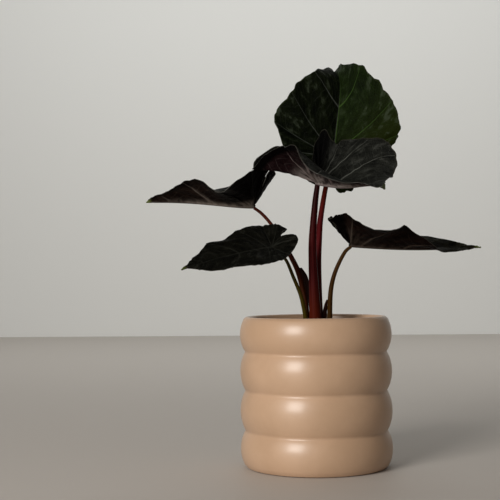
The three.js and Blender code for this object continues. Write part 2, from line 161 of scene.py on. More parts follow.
bpy.ops.mesh.primitive_plane_add(size=FLOOR_SIZE, location=FLOOR_CENTRE)
stage_piece("floor", (0.5, 0.46, 0.42), 0.6)
bpy.ops.mesh.primitive_plane_add(size=WALL_SIZE, location=WALL_CENTRE,
                                 rotation=(math.pi / 2, 0, 0))
stage_piece("backdrop", (0.8, 0.8, 0.78), 0.9)
print("stage is set")

# %% [markdown]
# ## Small helpers
#
# Operators act on whatever is selected, so each step starts from an empty selection. Points are
# read and moved all at once as an array, which is quicker than one by one. A finished piece is
# handed to the frame in one call: which node it stands for, and whose finish it takes.

# %% Helpers for pieces


def deselect():
    if bpy.context.object and bpy.context.object.mode != "OBJECT":
        bpy.ops.object.mode_set(mode="OBJECT")
    bpy.ops.object.select_all(action="DESELECT")


def make_active(piece):
    deselect()
    piece.select_set(True)
    bpy.context.view_layer.objects.active = piece


def points_of(piece):
    flat = np.empty(len(piece.data.vertices) * 3)
    piece.data.vertices.foreach_get("co", flat)
    return flat.reshape(-1, 3)


def move_points(piece, points):
    piece.data.vertices.foreach_set("co", np.ascontiguousarray(points, dtype=np.float32).ravel())
    piece.data.update()


def shade(piece, angle=None):
    """Smooth shading, all over or up to a sharp angle in degrees."""
    make_active(piece)
    if angle is None:
        bpy.ops.object.shade_smooth()
    else:
        bpy.ops.object.shade_smooth_by_angle(angle=math.radians(angle))


def hand_over(piece, material, node):
    if material:
        piece.data.materials.append(material)
    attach(piece, "root")
    if node:
        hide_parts(node)
    print(piece.name, len(piece.data.polygons), "faces")


print("helpers for pieces are defined")

# %% [markdown]
# ## Turning a profile
#
# Pot, potting mix and corm are round about the plant's axis. Spin or a Screw modifier could turn
# their outlines. Here a filled circle is extruded upwards ring by ring instead, as a potter
# pulls a wall: the bottom is closed from the start, and every ring lies where the list says.

# %% Helper for turned pieces


def turned(name, profile, sides):
    """A closed shape of revolution from (radius, height) pairs in mm, the foot first."""
    deselect()
    radius, height = profile[0]
    bpy.ops.mesh.primitive_circle_add(vertices=sides, radius=radius * MM, fill_type="TRIFAN",
                                      location=(0, 0, height * MM))
    piece = bpy.context.object
    piece.name = name
    bpy.ops.object.transform_apply()
    bpy.ops.object.mode_set(mode="EDIT")
    bpy.ops.mesh.select_all(action="DESELECT")
    bpy.ops.object.mode_set(mode="OBJECT")
    for edge in piece.data.edges:
        ends = [piece.data.vertices[k].co for k in edge.vertices]
        edge.select = all(end.xy.length > 0.5 * radius * MM for end in ends)
    bpy.ops.object.mode_set(mode="EDIT")
    bpy.ops.mesh.select_mode(type="EDGE")
    for next_radius, next_height in profile[1:]:
        lift = (next_height - height) * MM
        bpy.ops.mesh.extrude_region_move(TRANSFORM_OT_translate={"value": (0, 0, lift)})
        if next_radius == 0:
            bpy.ops.mesh.merge(type="COLLAPSE")
        else:
            scale = next_radius / radius
            bpy.ops.transform.resize(value=(scale, scale, 1), center_override=(0, 0, 0))
        radius, height = next_radius, next_height
    bpy.ops.mesh.select_all(action="SELECT")
    bpy.ops.mesh.normals_make_consistent(inside=False)
    bpy.ops.object.mode_set(mode="OBJECT")
    return piece


print("a profile can be turned")

# %% [markdown]
# ## Node helpers
#
# A material is a small graph. Each node could be added and wired by hand, but these functions
# keep the graphs below short: feed links a socket or sets it, add_node makes a node with its
# inputs, and the rest do arithmetic on values.

# %% Helpers for nodes


def feed(tree, socket, value):
    """Links a socket to an output, or sets its own value. A colour may leave out its alpha."""
    if isinstance(value, bpy.types.NodeSocket):
        tree.links.new(value, socket)
    elif socket.type == "RGBA" and len(value) == 3:
        socket.default_value = (*value, 1)
    else:
        socket.default_value = value


def add_node(tree, kind, inputs=None, **settings):
    node = tree.nodes.new(kind)
    for key, value in settings.items():
        setattr(node, key, value)
    for key, value in (inputs or {}).items():
        feed(tree, node.inputs[key], value)
    return node


def calc(tree, operation, *values, clamp=False):
    return add_node(tree, "ShaderNodeMath", dict(enumerate(values)), operation=operation,
                    use_clamp=clamp).outputs[0]


def times(tree, first, second):
    return calc(tree, "MULTIPLY", first, second)


def plus(tree, first, second, clamp=False):
    return calc(tree, "ADD", first, second, clamp=clamp)


def minus(tree, first, second, clamp=False):
    return calc(tree, "SUBTRACT", first, second, clamp=clamp)


def ramp(tree, value, low, high, bottom=0.0, top=1.0):
    """Smooth step of a value between low and high."""
    inputs = {"Value": value, "From Min": low, "From Max": high, "To Min": bottom, "To Max": top}
    return add_node(tree, "ShaderNodeMapRange", inputs,
                    interpolation_type="SMOOTHSTEP").outputs["Result"]


print("helpers for nodes are defined")

# %% [markdown]
# Three more name what a finish is made of. Cloud is soft noise, lay puts one colour over another
# where a mask is, and press turns a height into small bumps without moving any point.

# %% Helpers for colour and bumps


def cloud(tree, place, scale, **more):
    """Noise from 0 to 1. Detail and roughness are given as words."""
    inputs = {"Vector": place, "Scale": scale}
    inputs.update({key.capitalize(): value for key, value in more.items()})
    return add_node(tree, "ShaderNodeTexNoise", inputs).outputs["Fac"]


def lay(tree, color, over, mask):
    """One colour laid over another where the mask is."""
    inputs = {0: mask, 6: color, 7: over}
    return add_node(tree, "ShaderNodeMix", inputs, data_type="RGBA").outputs[2]


def press(tree, shader, height, strength, depth, invert=False):
    """Bump from a height, its depth in mm."""
    inputs = {"Height": height, "Strength": strength, "Distance": depth * MM}
    bump = add_node(tree, "ShaderNodeBump", inputs, invert=invert)
    tree.links.new(bump.outputs["Normal"], shader.inputs["Normal"])


print("helpers for colour and bumps are defined")

# %% [markdown]
# ## Two shared effects
#
# An effect that several finishes use is a node group, built once: a change to it then reaches
# every finish. A group needs named sockets on both sides, which the first helper makes.

# %% Helpers for node groups
SOCKET_KINDS = {"value": "NodeSocketFloat", "color": "NodeSocketColor"}


def new_group(name, inputs, outputs):
    """A node group with named sockets: (name, kind, default) in and (name, kind) out."""
    group = bpy.data.node_groups.new(name, "ShaderNodeTree")
    for label, kind, default in inputs:
        socket = group.interface.new_socket(label, in_out="INPUT", socket_type=SOCKET_KINDS[kind])
        socket.default_value = default
    for label, kind in outputs:
        group.interface.new_socket(label, in_out="OUTPUT", socket_type=SOCKET_KINDS[kind])
    return group, group.nodes.new("NodeGroupInput").outputs


def put_out(group, values):
    leave = group.nodes.new("NodeGroupOutput").inputs
    for label, value in values.items():
        group.links.new(value, leave[label])


def place_group(tree, group, inputs):
    return add_node(tree, "ShaderNodeGroup", inputs, node_tree=group).outputs


print("kinds of socket:", list(SOCKET_KINDS))

# %% [markdown]
# Mottle breaks a flat colour up into soft patches and fine grain, in object space, for glaze,
# soil and skin. Streaks run along a stalk: they read the stalk's own map, where U goes around
# and V goes up, and bend it into a ring so that no seam shows.

# %% Shared node groups


def make_mottle():
    group, enter = new_group(
        "mottle",
        [("Color A", "color", (0.5, 0.5, 0.5, 1)), ("Color B", "color", (0.4, 0.4, 0.4, 1)),
         ("Patch Scale", "value", 20.0), ("Grain Scale", "value", 400.0),
         ("Grain", "value", 0.2)],
        [("Color", "color"), ("Height", "value"), ("Patch", "value")])
    place = add_node(group, "ShaderNodeTexCoord").outputs["Object"]
    patch = ramp(group, cloud(group, place, enter["Patch Scale"], detail=4.0, roughness=0.55),
                 0.35, 0.65)
    grain = cloud(group, place, enter["Grain Scale"], detail=2.0)
    share = plus(group, patch, times(group, minus(group, grain, 0.5), enter["Grain"]), clamp=True)
    color = lay(group, enter["Color A"], enter["Color B"], share)
    put_out(group, {"Color": color, "Height": grain, "Patch": patch})
    return group


def make_streaks():
    group, enter = new_group(
        "streaks", [("Around", "value", 30.0), ("Along", "value", 5.0)],
        [("Streak", "value"), ("Patch", "value"), ("Up", "value")])
    place = add_node(group, "ShaderNodeUVMap", uv_map="UVMap").outputs["UV"]
    parts = add_node(group, "ShaderNodeSeparateXYZ", {"Vector": place}).outputs
    turn = times(group, parts["X"], 2 * math.pi)
    wide = times(group, enter["Around"], 0.16)
    spot = add_node(group, "ShaderNodeCombineXYZ", {
        "X": times(group, calc(group, "COSINE", turn), wide),
        "Y": times(group, calc(group, "SINE", turn), wide),
        "Z": times(group, parts["Y"], enter["Along"])}).outputs[0]
    streak = ramp(group, cloud(group, spot, 1.0, detail=3.0), 0.3, 0.7)
    patch = ramp(group, cloud(group, spot, 0.35, detail=2.0), 0.35, 0.65)
    put_out(group, {"Streak": streak, "Patch": patch, "Up": parts["Y"]})
    return group


mottle = make_mottle()
streaks = make_streaks()
print("node groups", [mottle.name, streaks.name])

# %% [markdown]
# ## The pot
#
# The pot is thrown in one piece with four soft rolls, a rounded rim and a plain cylinder inside.
# Four rings and a tube could be joined by a boolean, but the valleys would need cleaning, so the
# whole outline is drawn once, up the outside and down the inside, and turned. Each roll is an arc
# of a circle between two seams, and the wall is about 5 mm thick in the valleys.

# %% Pot
SEAMS = (0, 36.6, 77.3, 116.7, 152)
VALLEY = 72.4
BULGE = 5.1
ROLL_STEPS = 20
POT_SIDES = 144
POT_INSIDE = 67
FOOT = [(66, 0.9), (68, 0), (70.6, 0), (71.6, 0.3), (72.1, 1.0)]
RIM_START = 150.6
RIM = [(72.5, 150.9), (71.9, 151.6), (71.0, 152.1), (69.8, 152.3), (68.6, 152.1), (67.7, 151.4),
       (67.2, 150.4)]
INSIDE = [(POT_INSIDE, 149), (POT_INSIDE, 110), (POT_INSIDE, 60), (POT_INSIDE, 14), (66, 10),
          (63, 8), (30, 8), (0, 8)]


def roll(low, high):
    half = (high - low) / 2
    radius = (half * half + BULGE * BULGE) / (2 * BULGE)
    points = []
    for k in range(ROLL_STEPS + 1):
        angle = math.asin(half / radius) * (2 * k / ROLL_STEPS - 1)
        points.append((VALLEY + BULGE - radius + radius * math.cos(angle),
                       (low + high) / 2 + radius * math.sin(angle)))
    return points


def pot_profile():
    profile = FOOT + roll(*SEAMS[:2])[2:-1]
    for low, high in zip(SEAMS[1:], SEAMS[2:]):
        profile += [(VALLEY - 0.1, low)] + roll(low, high)[1:-1]
    return [p for p in profile if p[1] < RIM_START] + RIM + INSIDE


def tan_glaze():
    material, tree, shader = new_material("tan glaze", Roughness=0.4, IOR=1.5,
                                          Specular_IOR_Level=0.5, Coat_Weight=0.25,
                                          Coat_Roughness=0.22)
    glaze = place_group(tree, mottle, {"Color A": (0.56, 0.37, 0.24),
                                       "Color B": (0.5, 0.325, 0.205),
                                       "Patch Scale": 14.0, "Grain Scale": 900.0, "Grain": 0.25})
    tree.links.new(glaze["Color"], shader.inputs["Base Color"])
    press(tree, shader, glaze["Patch"], 0.12, 0.8)
    return material


pot = turned("pot_body", pot_profile(), POT_SIDES)
shade(pot)
hand_over(pot, tan_glaze(), "pot")

# %% [markdown]
# ## Potting mix
#
# The mix fills the pot to well below the rim. Its top is a turned disc with many rings, whose
# points are then raised and lowered by two sizes of noise. A displacement texture could do that
# too, but here the same function can say how high a crumb has to lie.

# %% Potting mix
SOIL_TOP = 138
SOIL_RADIUS = 66.7
SOIL_SIDES = 160
LUMP_SCALE, LUMP_HEIGHT = 0.045, 1.6
BUMP_SCALE, BUMP_HEIGHT = 0.22, 0.7


def soil_surface(x, y):
    """Height in mm of the top of the mix at x, y in mm."""
    lump = noise.noise(Vector((x * LUMP_SCALE, y * LUMP_SCALE, 3.1)))
    bump = noise.noise(Vector((x * BUMP_SCALE, y * BUMP_SCALE, 7.3)))
    return SOIL_TOP + LUMP_HEIGHT * lump + BUMP_HEIGHT * bump


def make_soil():
    profile = [(62.8, 8.3), (SOIL_RADIUS, 12.2), (SOIL_RADIUS, 60), (SOIL_RADIUS, SOIL_TOP - 1)]
    profile += [(r, SOIL_TOP) for r in np.linspace(65.6, 1.0, 54)] + [(0, SOIL_TOP)]
    soil = turned("potting_mix", profile, SOIL_SIDES)
    points = points_of(soil) / MM
    for k, (x, y, z) in enumerate(points):
        if z > SOIL_TOP - 0.5:
            points[k, 2] = soil_surface(x, y)
    move_points(soil, points * MM)
    shade(soil)
    return soil


def crumbly(name, dark, light, roughness):
    """Finish of soil, bark and skin: two colours in patches and grain, pressed in."""
    material, tree, shader = new_material(name, Roughness=roughness, Specular_IOR_Level=0.2)
    mix = place_group(tree, mottle, {"Color A": dark, "Color B": light, "Patch Scale": 160.0,
                                     "Grain Scale": 1500.0, "Grain": 0.8})
    tree.links.new(mix["Color"], shader.inputs["Base Color"])
    press(tree, shader, mix["Height"], 0.7, 1.0)
    return material


damp_mix = crumbly("damp mix", (0.022, 0.014, 0.009), (0.05, 0.032, 0.02), 0.95)
hand_over(make_soil(), damp_mix, "soil")

# %% [markdown]
# ## Loose grains
#
# Crumbs, chips of bark and white grains of perlite lie on the mix. One small stone of each kind
# is modelled and copied with its own size and turn each time. The draw is seeded, so the result
# is the same on every run. A particle system would do it faster but leaves its copies unmade.

# %% Loose grains
SEED = 7
CORM_RADIUS = 19
GRAIN_REACH = 64.5
GRAIN_LIMIT = 66
TURN_LIMIT = 6.28
TILT_LIMIT = 0.5
KNOBBLY = 0.35
GRAINS = {
    "soil_crumbs": dict(squash=(1, 0.8, 0.55), count=900, sizes=(0.7, 2.0), sink=0.15),
    "bark_chips": dict(squash=(1.3, 0.7, 0.3), count=90, sizes=(1.8, 3.6), sink=0.2),
    "perlite_grains": dict(squash=(1, 0.9, 0.8), count=70, sizes=(0.7, 1.4), sink=0.25),
}
GRAIN_FINISHES = {
    "soil_crumbs": crumbly("crumbs", (0.02, 0.012, 0.008), (0.07, 0.045, 0.028), 0.9),
    "bark_chips": crumbly("bark", (0.045, 0.022, 0.012), (0.12, 0.065, 0.035), 0.85),
    "perlite_grains": crumbly("perlite", (0.5, 0.48, 0.44), (0.68, 0.66, 0.62), 0.9),
}


def stone(kind, squash):
    deselect()
    bpy.ops.mesh.primitive_ico_sphere_add(subdivisions=2 if kind else 1, radius=1)
    piece = bpy.context.object
    points = points_of(piece)
    for k, p in enumerate(points):
        lump = noise.noise(Vector(p) * 1.3 + Vector((kind * 9, 0, 0)))
        points[k] = p * (1 + KNOBBLY * lump)
    move_points(piece, points * np.array(squash))
    return piece


def scatter(name, kind, squash, count, sizes, sink):
    """Copies of one stone over the mix, joined into a single mesh."""
    template = stone(kind, squash)
    draw = np.random.default_rng(SEED + kind)
    base = points_of(template)
    sides = [tuple(face.vertices) for face in template.data.polygons]
    all_points = []
    all_faces = []
    while len(all_points) < count:
        reach = math.sqrt(draw.uniform(0, 1)) * GRAIN_REACH
        angle = draw.uniform(0, 2 * math.pi)
        x, y = reach * math.cos(angle), reach * math.sin(angle)
        size = draw.uniform(*sizes)
        if math.hypot(x, y) < CORM_RADIUS + 1 + size or reach + size > GRAIN_LIMIT:
            continue
        turn = Matrix.Rotation(draw.uniform(0, TURN_LIMIT), 3, "Z") @ Matrix.Rotation(
            draw.uniform(-TILT_LIMIT, TILT_LIMIT), 3, "X")
        points = (base * size) @ np.array(turn).T
        points += np.array([x, y, soil_surface(x, y) + size * sink])
        start = len(all_points) * len(base)
        all_points.append(points)
        all_faces += [tuple(start + k for k in face) for face in sides]
    mesh = bpy.data.meshes.new(name)
    mesh.from_pydata((np.concatenate(all_points) * MM).tolist(), [], all_faces)
    piece = bpy.data.objects.new(name, mesh)
    bpy.context.collection.objects.link(piece)
    bpy.data.objects.remove(template)
    return piece


for kind, (name, grain) in enumerate(GRAINS.items()):
    hand_over(scatter(name, kind, **grain), GRAIN_FINISHES[name], None)

# %% [markdown]
# ## Corm
#
# All stalks grow from a short woody stem base that just shows above the mix. It is a turned
# knob. Rings of scars, where old leaves have dropped, are a sine of the distance from its
# middle, and noise roughens them. Sculpting would give richer bark, but little of it shows.

# %% Corm
CORM_SIDES = 96
CORM_SHOULDER = 132
CORM_LIMIT = 139.2
BARK_SCALE, BARK_HEIGHT = 0.35, 0.5
SCAR_TURN, SCAR_HEIGHT = 2.2, 0.25


def make_corm():
    profile = [(10, 110), (14.6, 112.8), (18.6, 121.4), (18.6, 130), (18.7, 134), (18.4, 136.4)]
    for k in range(9):
        radius = 18 - 2 * k
        profile.append((radius, 137.4 + 1.5 * math.sin(min(1, k / 6) * math.pi / 2)))
    profile.append((0, 139))
    corm = turned("corm_skin", profile, CORM_SIDES)
    points = points_of(corm) / MM
    for k, p in enumerate(points):
        if p[2] > CORM_SHOULDER:
            bark = noise.noise(Vector(p) * BARK_SCALE)
            scar = SCAR_HEIGHT * math.sin(SCAR_TURN * math.hypot(p[0], p[1]))
            points[k, 2] = min(p[2] + BARK_HEIGHT * bark + scar, CORM_LIMIT)
    move_points(corm, points * MM)
    shade(corm)
    return corm


corm_bark = crumbly("corm bark", (0.05, 0.026, 0.014), (0.13, 0.075, 0.04), 0.8)
hand_over(make_corm(), corm_bark, "corm")

# %% [markdown]
# ## Smooth tables
#
# Blades and stalks are drawn by short tables of values with a smooth curve through them. A
# spline that only comes near its values would be smoother still, but this one passes through
# each of them, so every number in a table can be read off the plant.

# %% Curves through values


def cubic(a, b, c, d, f):
    return 0.5 * (2 * b + (c - a) * f + (2 * a - 5 * b + 4 * c - d) * f ** 2
                  + (3 * b - a - 3 * c + d) * f ** 3)


def through(values, x):
    """Smooth curve through evenly spaced values, x from 0 to 1."""
    v = np.asarray(values, float)
    v = np.concatenate([[2 * v[0] - v[1]], v, [2 * v[-1] - v[-2]]])
    spot = np.clip(x, 0, 1) * (len(values) - 1)
    k = np.minimum(spot.astype(int), len(values) - 2)
    return cubic(v[k], v[k + 1], v[k + 2], v[k + 3], spot - k)


def around(values, x):
    """The same around a closed ring of values, x in steps."""
    v = np.asarray(values, float)
    n = len(v)
    k = np.floor(x).astype(int)
    return cubic(v[(k - 1) % n], v[k % n], v[(k + 1) % n], v[(k + 2) % n], x - k)


def smooth(x):
    x = np.clip(x, 0, 1)
    return x * x * (3 - 2 * x)


print("halfway from 0 to 4 to 1:", through([0, 4, 1], np.array([0.5]))[0])

# %% [markdown]
# ## Stalks
#
# A leaf stalk is a fleshy rod that thins and curves away from the corm. A curve with a bevel
# makes such a rod at once. A flat grid rolled around a curved line takes more steps, but it
# brings its own map, so U runs around the stalk and V runs up it, and the colour streaks can
# follow the growth. The points of each path and its radii are millimetres, the foot first.

# %% Stalk tables
STALK_FOOT = 138.2
STALKS = {
    "stalk_front": {
        "path": [(0, -7.5, STALK_FOOT), (0, -7, 151), (-1, -8, 179), (-2, -9, 208),
                 (-2, -10, 232), (1, -11.5, 267), (3.6, -12, 286)],
        "radii": [6.7, 6.3, 5.2, 4.4, 3.8, 3.1, 2.6]},
    "stalk_tall": {
        "path": [(3, 7.5, STALK_FOOT), (3, 7.5, 150), (2.7, 10, 179), (3, 14, 208),
                 (4.6, 20, 233), (6.6, 28, 254), (12, 40, 285), (17, 45, 305),
                 (20.8, 39.3, 319)],
        "radii": [5.7, 5.1, 4.5, 3.9, 3.4, 3, 2.6, 2.4, 2.2]},
    "stalk_upper_left": {
        "path": [(-9, 4.5, STALK_FOOT), (-8.5, 4.5, 150), (-10, 6, 166), (-13.5, 9, 184),
                 (-18, 12, 200), (-25.5, 15, 215.5), (-35, 17.5, 232.5), (-45, 18, 248),
                 (-54.5, 17.5, 259), (-62.8, 16.1, 265.4)],
        "radii": [2.8, 2.6, 2.7, 2.8, 2.8, 2.5, 2.1, 1.8, 1.7, 1.6]},
    "stalk_lower_left": {
        "path": [(-10.7, -5, STALK_FOOT), (-10, -5.5, 150), (-12, -7, 163), (-15.3, -9, 176),
                 (-22, -13, 193), (-28.5, -18, 209), (-35.5, -22, 216.5), (-42, -24.8, 221.6)],
        "radii": [2.9, 2.4, 2.2, 2, 1.8, 1.6, 1.5, 1.5]},
    "stalk_right": {
        "path": [(15, 0, STALK_FOOT), (14.7, 0, 150), (15.6, 0, 173), (18, 1, 188),
                 (23, 2, 202.5), (31, 4, 217.5), (37.2, 5.8, 223.2)],
        "radii": [2.9, 2.7, 2.5, 2.3, 2.1, 1.9, 1.7]},
}
print("stalk tables", list(STALKS))

# %% [markdown]
# Stalks, sheath wings and blades all start as a flat grid whose points are moved. The helper
# gives each point's share across and up the grid, which is all that the formulas need. Where
# edges meet after the move, merging by distance sews them together, and open ends are filled.

# %% Helpers for grids


def grid(name, columns, rows):
    """A flat grid, with each point's share across it and up it."""
    deselect()
    bpy.ops.mesh.primitive_grid_add(x_subdivisions=columns, y_subdivisions=rows, size=2)
    piece = bpy.context.object
    piece.name = name
    spots = points_of(piece)
    return piece, (spots[:, 0] + 1) / 2, (spots[:, 1] + 1) / 2


def merge_seams(piece, distance):
    make_active(piece)
    bpy.ops.object.mode_set(mode="EDIT")
    bpy.ops.mesh.select_all(action="SELECT")
    bpy.ops.mesh.remove_doubles(threshold=distance)
    bpy.ops.object.mode_set(mode="OBJECT")


def close_ends():
    bpy.ops.object.mode_set(mode="EDIT")
    bpy.ops.mesh.select_all(action="DESELECT")
    bpy.ops.mesh.select_mode(type="EDGE")
    bpy.ops.mesh.select_non_manifold()
    bpy.ops.mesh.fill_holes(sides=0)
    bpy.ops.mesh.select_all(action="SELECT")
    bpy.ops.mesh.normals_make_consistent(inside=False)
    bpy.ops.object.mode_set(mode="OBJECT")


print("helpers for grids are defined")

# %% [markdown]
# The directions across the line are carried from ring to ring, so that the grid doesn't twist.
# A real stalk isn't quite round, so the skin gets a few shallow flutes.

# %% Stalk shapes
STALK_SIDES = 28
STALK_RINGS = 90
WIDE_FLUTES, WIDE_FLUTE_DEPTH = 5, 0.02
FINE_FLUTES, FINE_FLUTE_DEPTH = 9, 0.012


def rings_along(path):
    """Centres of the rings along a path, and two directions across each of them."""
    heights = np.linspace(0, 1, STALK_RINGS + 1)
    line = np.stack([through([p[k] for p in path], heights) for k in range(3)], 1)
    steps = np.gradient(line, axis=0)
    steps /= np.linalg.norm(steps, axis=1)[:, None]
    steps[0] = (0, 0, 1)
    sideways = np.zeros_like(steps)
    side = np.array([1.0, 0, 0])
    for k, step in enumerate(steps):
        side = side - step * (side @ step)
        side /= np.linalg.norm(side)
        sideways[k] = side
    return line, sideways, np.cross(steps, sideways)


def make_stalk(name, path, radii):
    piece, around_share, up_share = grid(name, STALK_SIDES, STALK_RINGS)
    line, sideways, others = rings_along(path)
    ring = np.rint(up_share * STALK_RINGS).astype(int)
    angle = around_share * 2 * math.pi
    flute = 1 + WIDE_FLUTE_DEPTH * np.cos(WIDE_FLUTES * angle + 1)
    flute = flute + FINE_FLUTE_DEPTH * np.sin(FINE_FLUTES * angle)
    radius = through(radii, up_share) * flute
    points = line[ring] + sideways[ring] * (radius * np.cos(angle))[:, None]
    points += others[ring] * (radius * np.sin(angle))[:, None]
    move_points(piece, points * MM)
    merge_seams(piece, 0.01 * MM)
    close_ends()
    shade(piece, 50)
    return piece


stalks = {name: make_stalk(name + "_skin", **shape) for name, shape in STALKS.items()}
print("stalks", list(stalks))

# %% [markdown]
# The two middle stalks are red: the front one is wine red, and under its blade a painted
# shadow makes it nearly black; the tall one turns a brighter ruby there. The thin ones are
# brown, olive and russet. Five painted maps could say this, but one streaked blend does it for
# all: skin and streak alternate around the stalk, a foot colour fades out going up and a top
# colour fades in below the blade. On the front stalk that top colour is painted shadow.

# %% Stalk finishes


def stalk_finish(name, skin, streak, foot, top):
    material, tree, shader = new_material(name, Roughness=0.38, Specular_IOR_Level=0.035)
    marks = place_group(tree, streaks, {"Around": 26.0, "Along": 3.0})
    share = plus(tree, times(tree, marks["Streak"], 0.75), times(tree, marks["Patch"], 0.25),
                 clamp=True)
    low = times(tree, ramp(tree, marks["Up"], 0.1, 0.45, 1.0, 0.0), 0.8)
    high = times(tree, ramp(tree, marks["Up"], 0.58, 0.88), 0.9)
    color = lay(tree, skin, streak, share)
    for over, mask in ((foot, low), (top, high)):
        color = lay(tree, color, over, mask)
    tree.links.new(color, shader.inputs["Base Color"])
    press(tree, shader, marks["Streak"], 0.25, 0.4)
    return material


STALK_FINISHES = {
    # Its top colour is painted shadow of the front blade, which hangs over it.
    "stalk_front": ("wine red stalk", (0.080, 0.0085, 0.0090), (0.022, 0.0020, 0.0018),
                    (0.072, 0.0095, 0.0018), (0.010, 0.0010, 0.0007)),
    "stalk_tall": ("ruby red stalk", (0.105, 0.0095, 0.0115), (0.036, 0.0026, 0.0026),
                   (0.066, 0.0080, 0.0016), (0.110, 0.0170, 0.0045)),
    "stalk_upper_left": ("brown stalk", (0.100, 0.021, 0.008), (0.050, 0.009, 0.003),
                         (0.060, 0.018, 0.004), (0.055, 0.012, 0.007)),
    "stalk_lower_left": ("olive stalk", (0.065, 0.050, 0.006), (0.038, 0.022, 0.003),
                         (0.045, 0.032, 0.003), (0.045, 0.038, 0.010)),
    "stalk_right": ("olive brown stalk", (0.054, 0.023, 0.003), (0.030, 0.011, 0.0015),
                    (0.036, 0.016, 0.002), (0.046, 0.022, 0.006)),
}
for name, piece in stalks.items():
    hand_over(piece, stalk_finish(*STALK_FINISHES[name]), name)

# %% [markdown]
# ## Sheath wings
#
# Thin dark flaps clasp the stalks at the foot: old sheaths that have dried to paper. Each is a
# bowed strip between two stalks that comes to a point. It is a flat grid whose rows are spread
# between an inner and an outer line, thickened by a Solidify modifier. Cloth could be draped
# over the stalks instead, but a dry sheath is stiff and keeps its bow.

# %% Sheaths
SHEATH_COLUMNS, SHEATH_ROWS = 12, 40
SHEATH_THICK = 0.7
SHEATH_BOW = 3.2
SHEATH_TAPER = 5
SHEATH_CRIMP = 0.25
# Stations of each wing: height, then x and y of the inner and of the outer line.
SHEATHS = {
    "sheath_left": [
        (139.3, (-5.6, 1.2), (-3.4, 2.6)), (151, (-5.4, 1.6), (-3, 3.2)),
        (166, (-7, 2.8), (-3.4, 2.4)), (180, (-9.6, 4.6), (-4.6, 1.6)),
        (190, (-12, 6.4), (-6.6, 2)), (197, (-14, 8), (-9.6, 4.4)), (202, (-16, 9.4), (-13.6, 8))],
    "sheath_right": [
        (139.3, (7.2, -3.4), (11.6, -1)), (151, (7, -3.6), (11.5, -1)),
        (158, (7.8, -3), (11.9, -0.8)), (164, (9.4, -2), (12.3, -0.6)),
        (169, (11.4, -1), (12.8, -0.2))],
}


def make_sheath(name, stations):
    piece, across, up = grid(name, SHEATH_COLUMNS, SHEATH_ROWS)
    table = np.array([[z, *inner, *outer] for z, inner, outer in stations])
    height, start_x, start_y, end_x, end_y = [through(table[:, k], up) for k in range(5)]
    start = np.stack([start_x, start_y, height], 1)
    span = np.stack([end_x, end_y, height], 1) - start
    width = np.linalg.norm(span, axis=1)
    face = np.stack([-span[:, 1], span[:, 0], 0 * width], 1) / width[:, None]
    bow = -SHEATH_BOW * across * (1 - across) * np.minimum(1, width / SHEATH_TAPER)
    crimp = SHEATH_CRIMP * np.sin(up * 21 + across * 5) * across
    points = start + span * across[:, None] + face * (bow + crimp)[:, None]
    move_points(piece, points * MM)
    make_active(piece)
    wall = piece.modifiers.new("wall", "SOLIDIFY")
    wall.thickness = SHEATH_THICK * MM
    wall.offset = 0
    bpy.ops.object.modifier_apply(modifier="wall")
    shade(piece, 50)
    return piece


papery = stalk_finish("papery sheath", (0.011, 0.0035, 0.0025), (0.020, 0.0065, 0.0045),
                      (0.012, 0.004, 0.003), (0.025, 0.009, 0.006))
for name, stations in SHEATHS.items():
    hand_over(make_sheath(name + "_wing", stations), papery, name)

# %% [markdown]
# ## Blades: the tables
#
# A blade is a heart with two rear lobes, folded along its midrib and tipped on its stalk. It
# could be sculpted, but then no number would say what was done, so each blade is a table. A
# half outline is a row of pairs: share of the length (or of the lobe, when negative) and share
# of the half width. Pitch and sway bend the midrib, lift raises each half from it, back and
# splay turn the rear lobes. Rise lifts the margin all around, and reach and curl move it
# outward and up at each point of the outline. Left comes before right, in mm and degrees.

# %% Blade tables
LOBED = [(1, 0), (0.95, 0.06), (0.87, 0.19), (0.76, 0.41), (0.61, 0.7), (0.44, 0.92),
         (0.27, 1), (0.11, 0.96), (-0.1, 0.83), (-0.5, 0.62), (-0.85, 0.4), (-1, 0.21),
         (-0.9, 0.11), (-0.6, 0.04), (-0.3, 0)]
ROUND = [(1, 0), (0.95, 0.09), (0.87, 0.26), (0.76, 0.5), (0.61, 0.78), (0.44, 0.96),
         (0.27, 1), (0.11, 0.95), (-0.1, 0.88), (-0.54, 0.76), (-0.86, 0.6), (-1, 0.42),
         (-0.9, 0.24), (-0.6, 0.08), (-0.3, 0)]
HEART = [(1, 0), (0.93, 0.055), (0.84, 0.17), (0.72, 0.38), (0.57, 0.64), (0.4, 0.86),
         (0.22, 0.98), (0.04, 0.99), (-0.32, 0.9), (-0.7, 0.72), (-0.93, 0.52), (-1, 0.36),
         (-0.84, 0.2), (-0.54, 0.07), (-0.3, 0)]
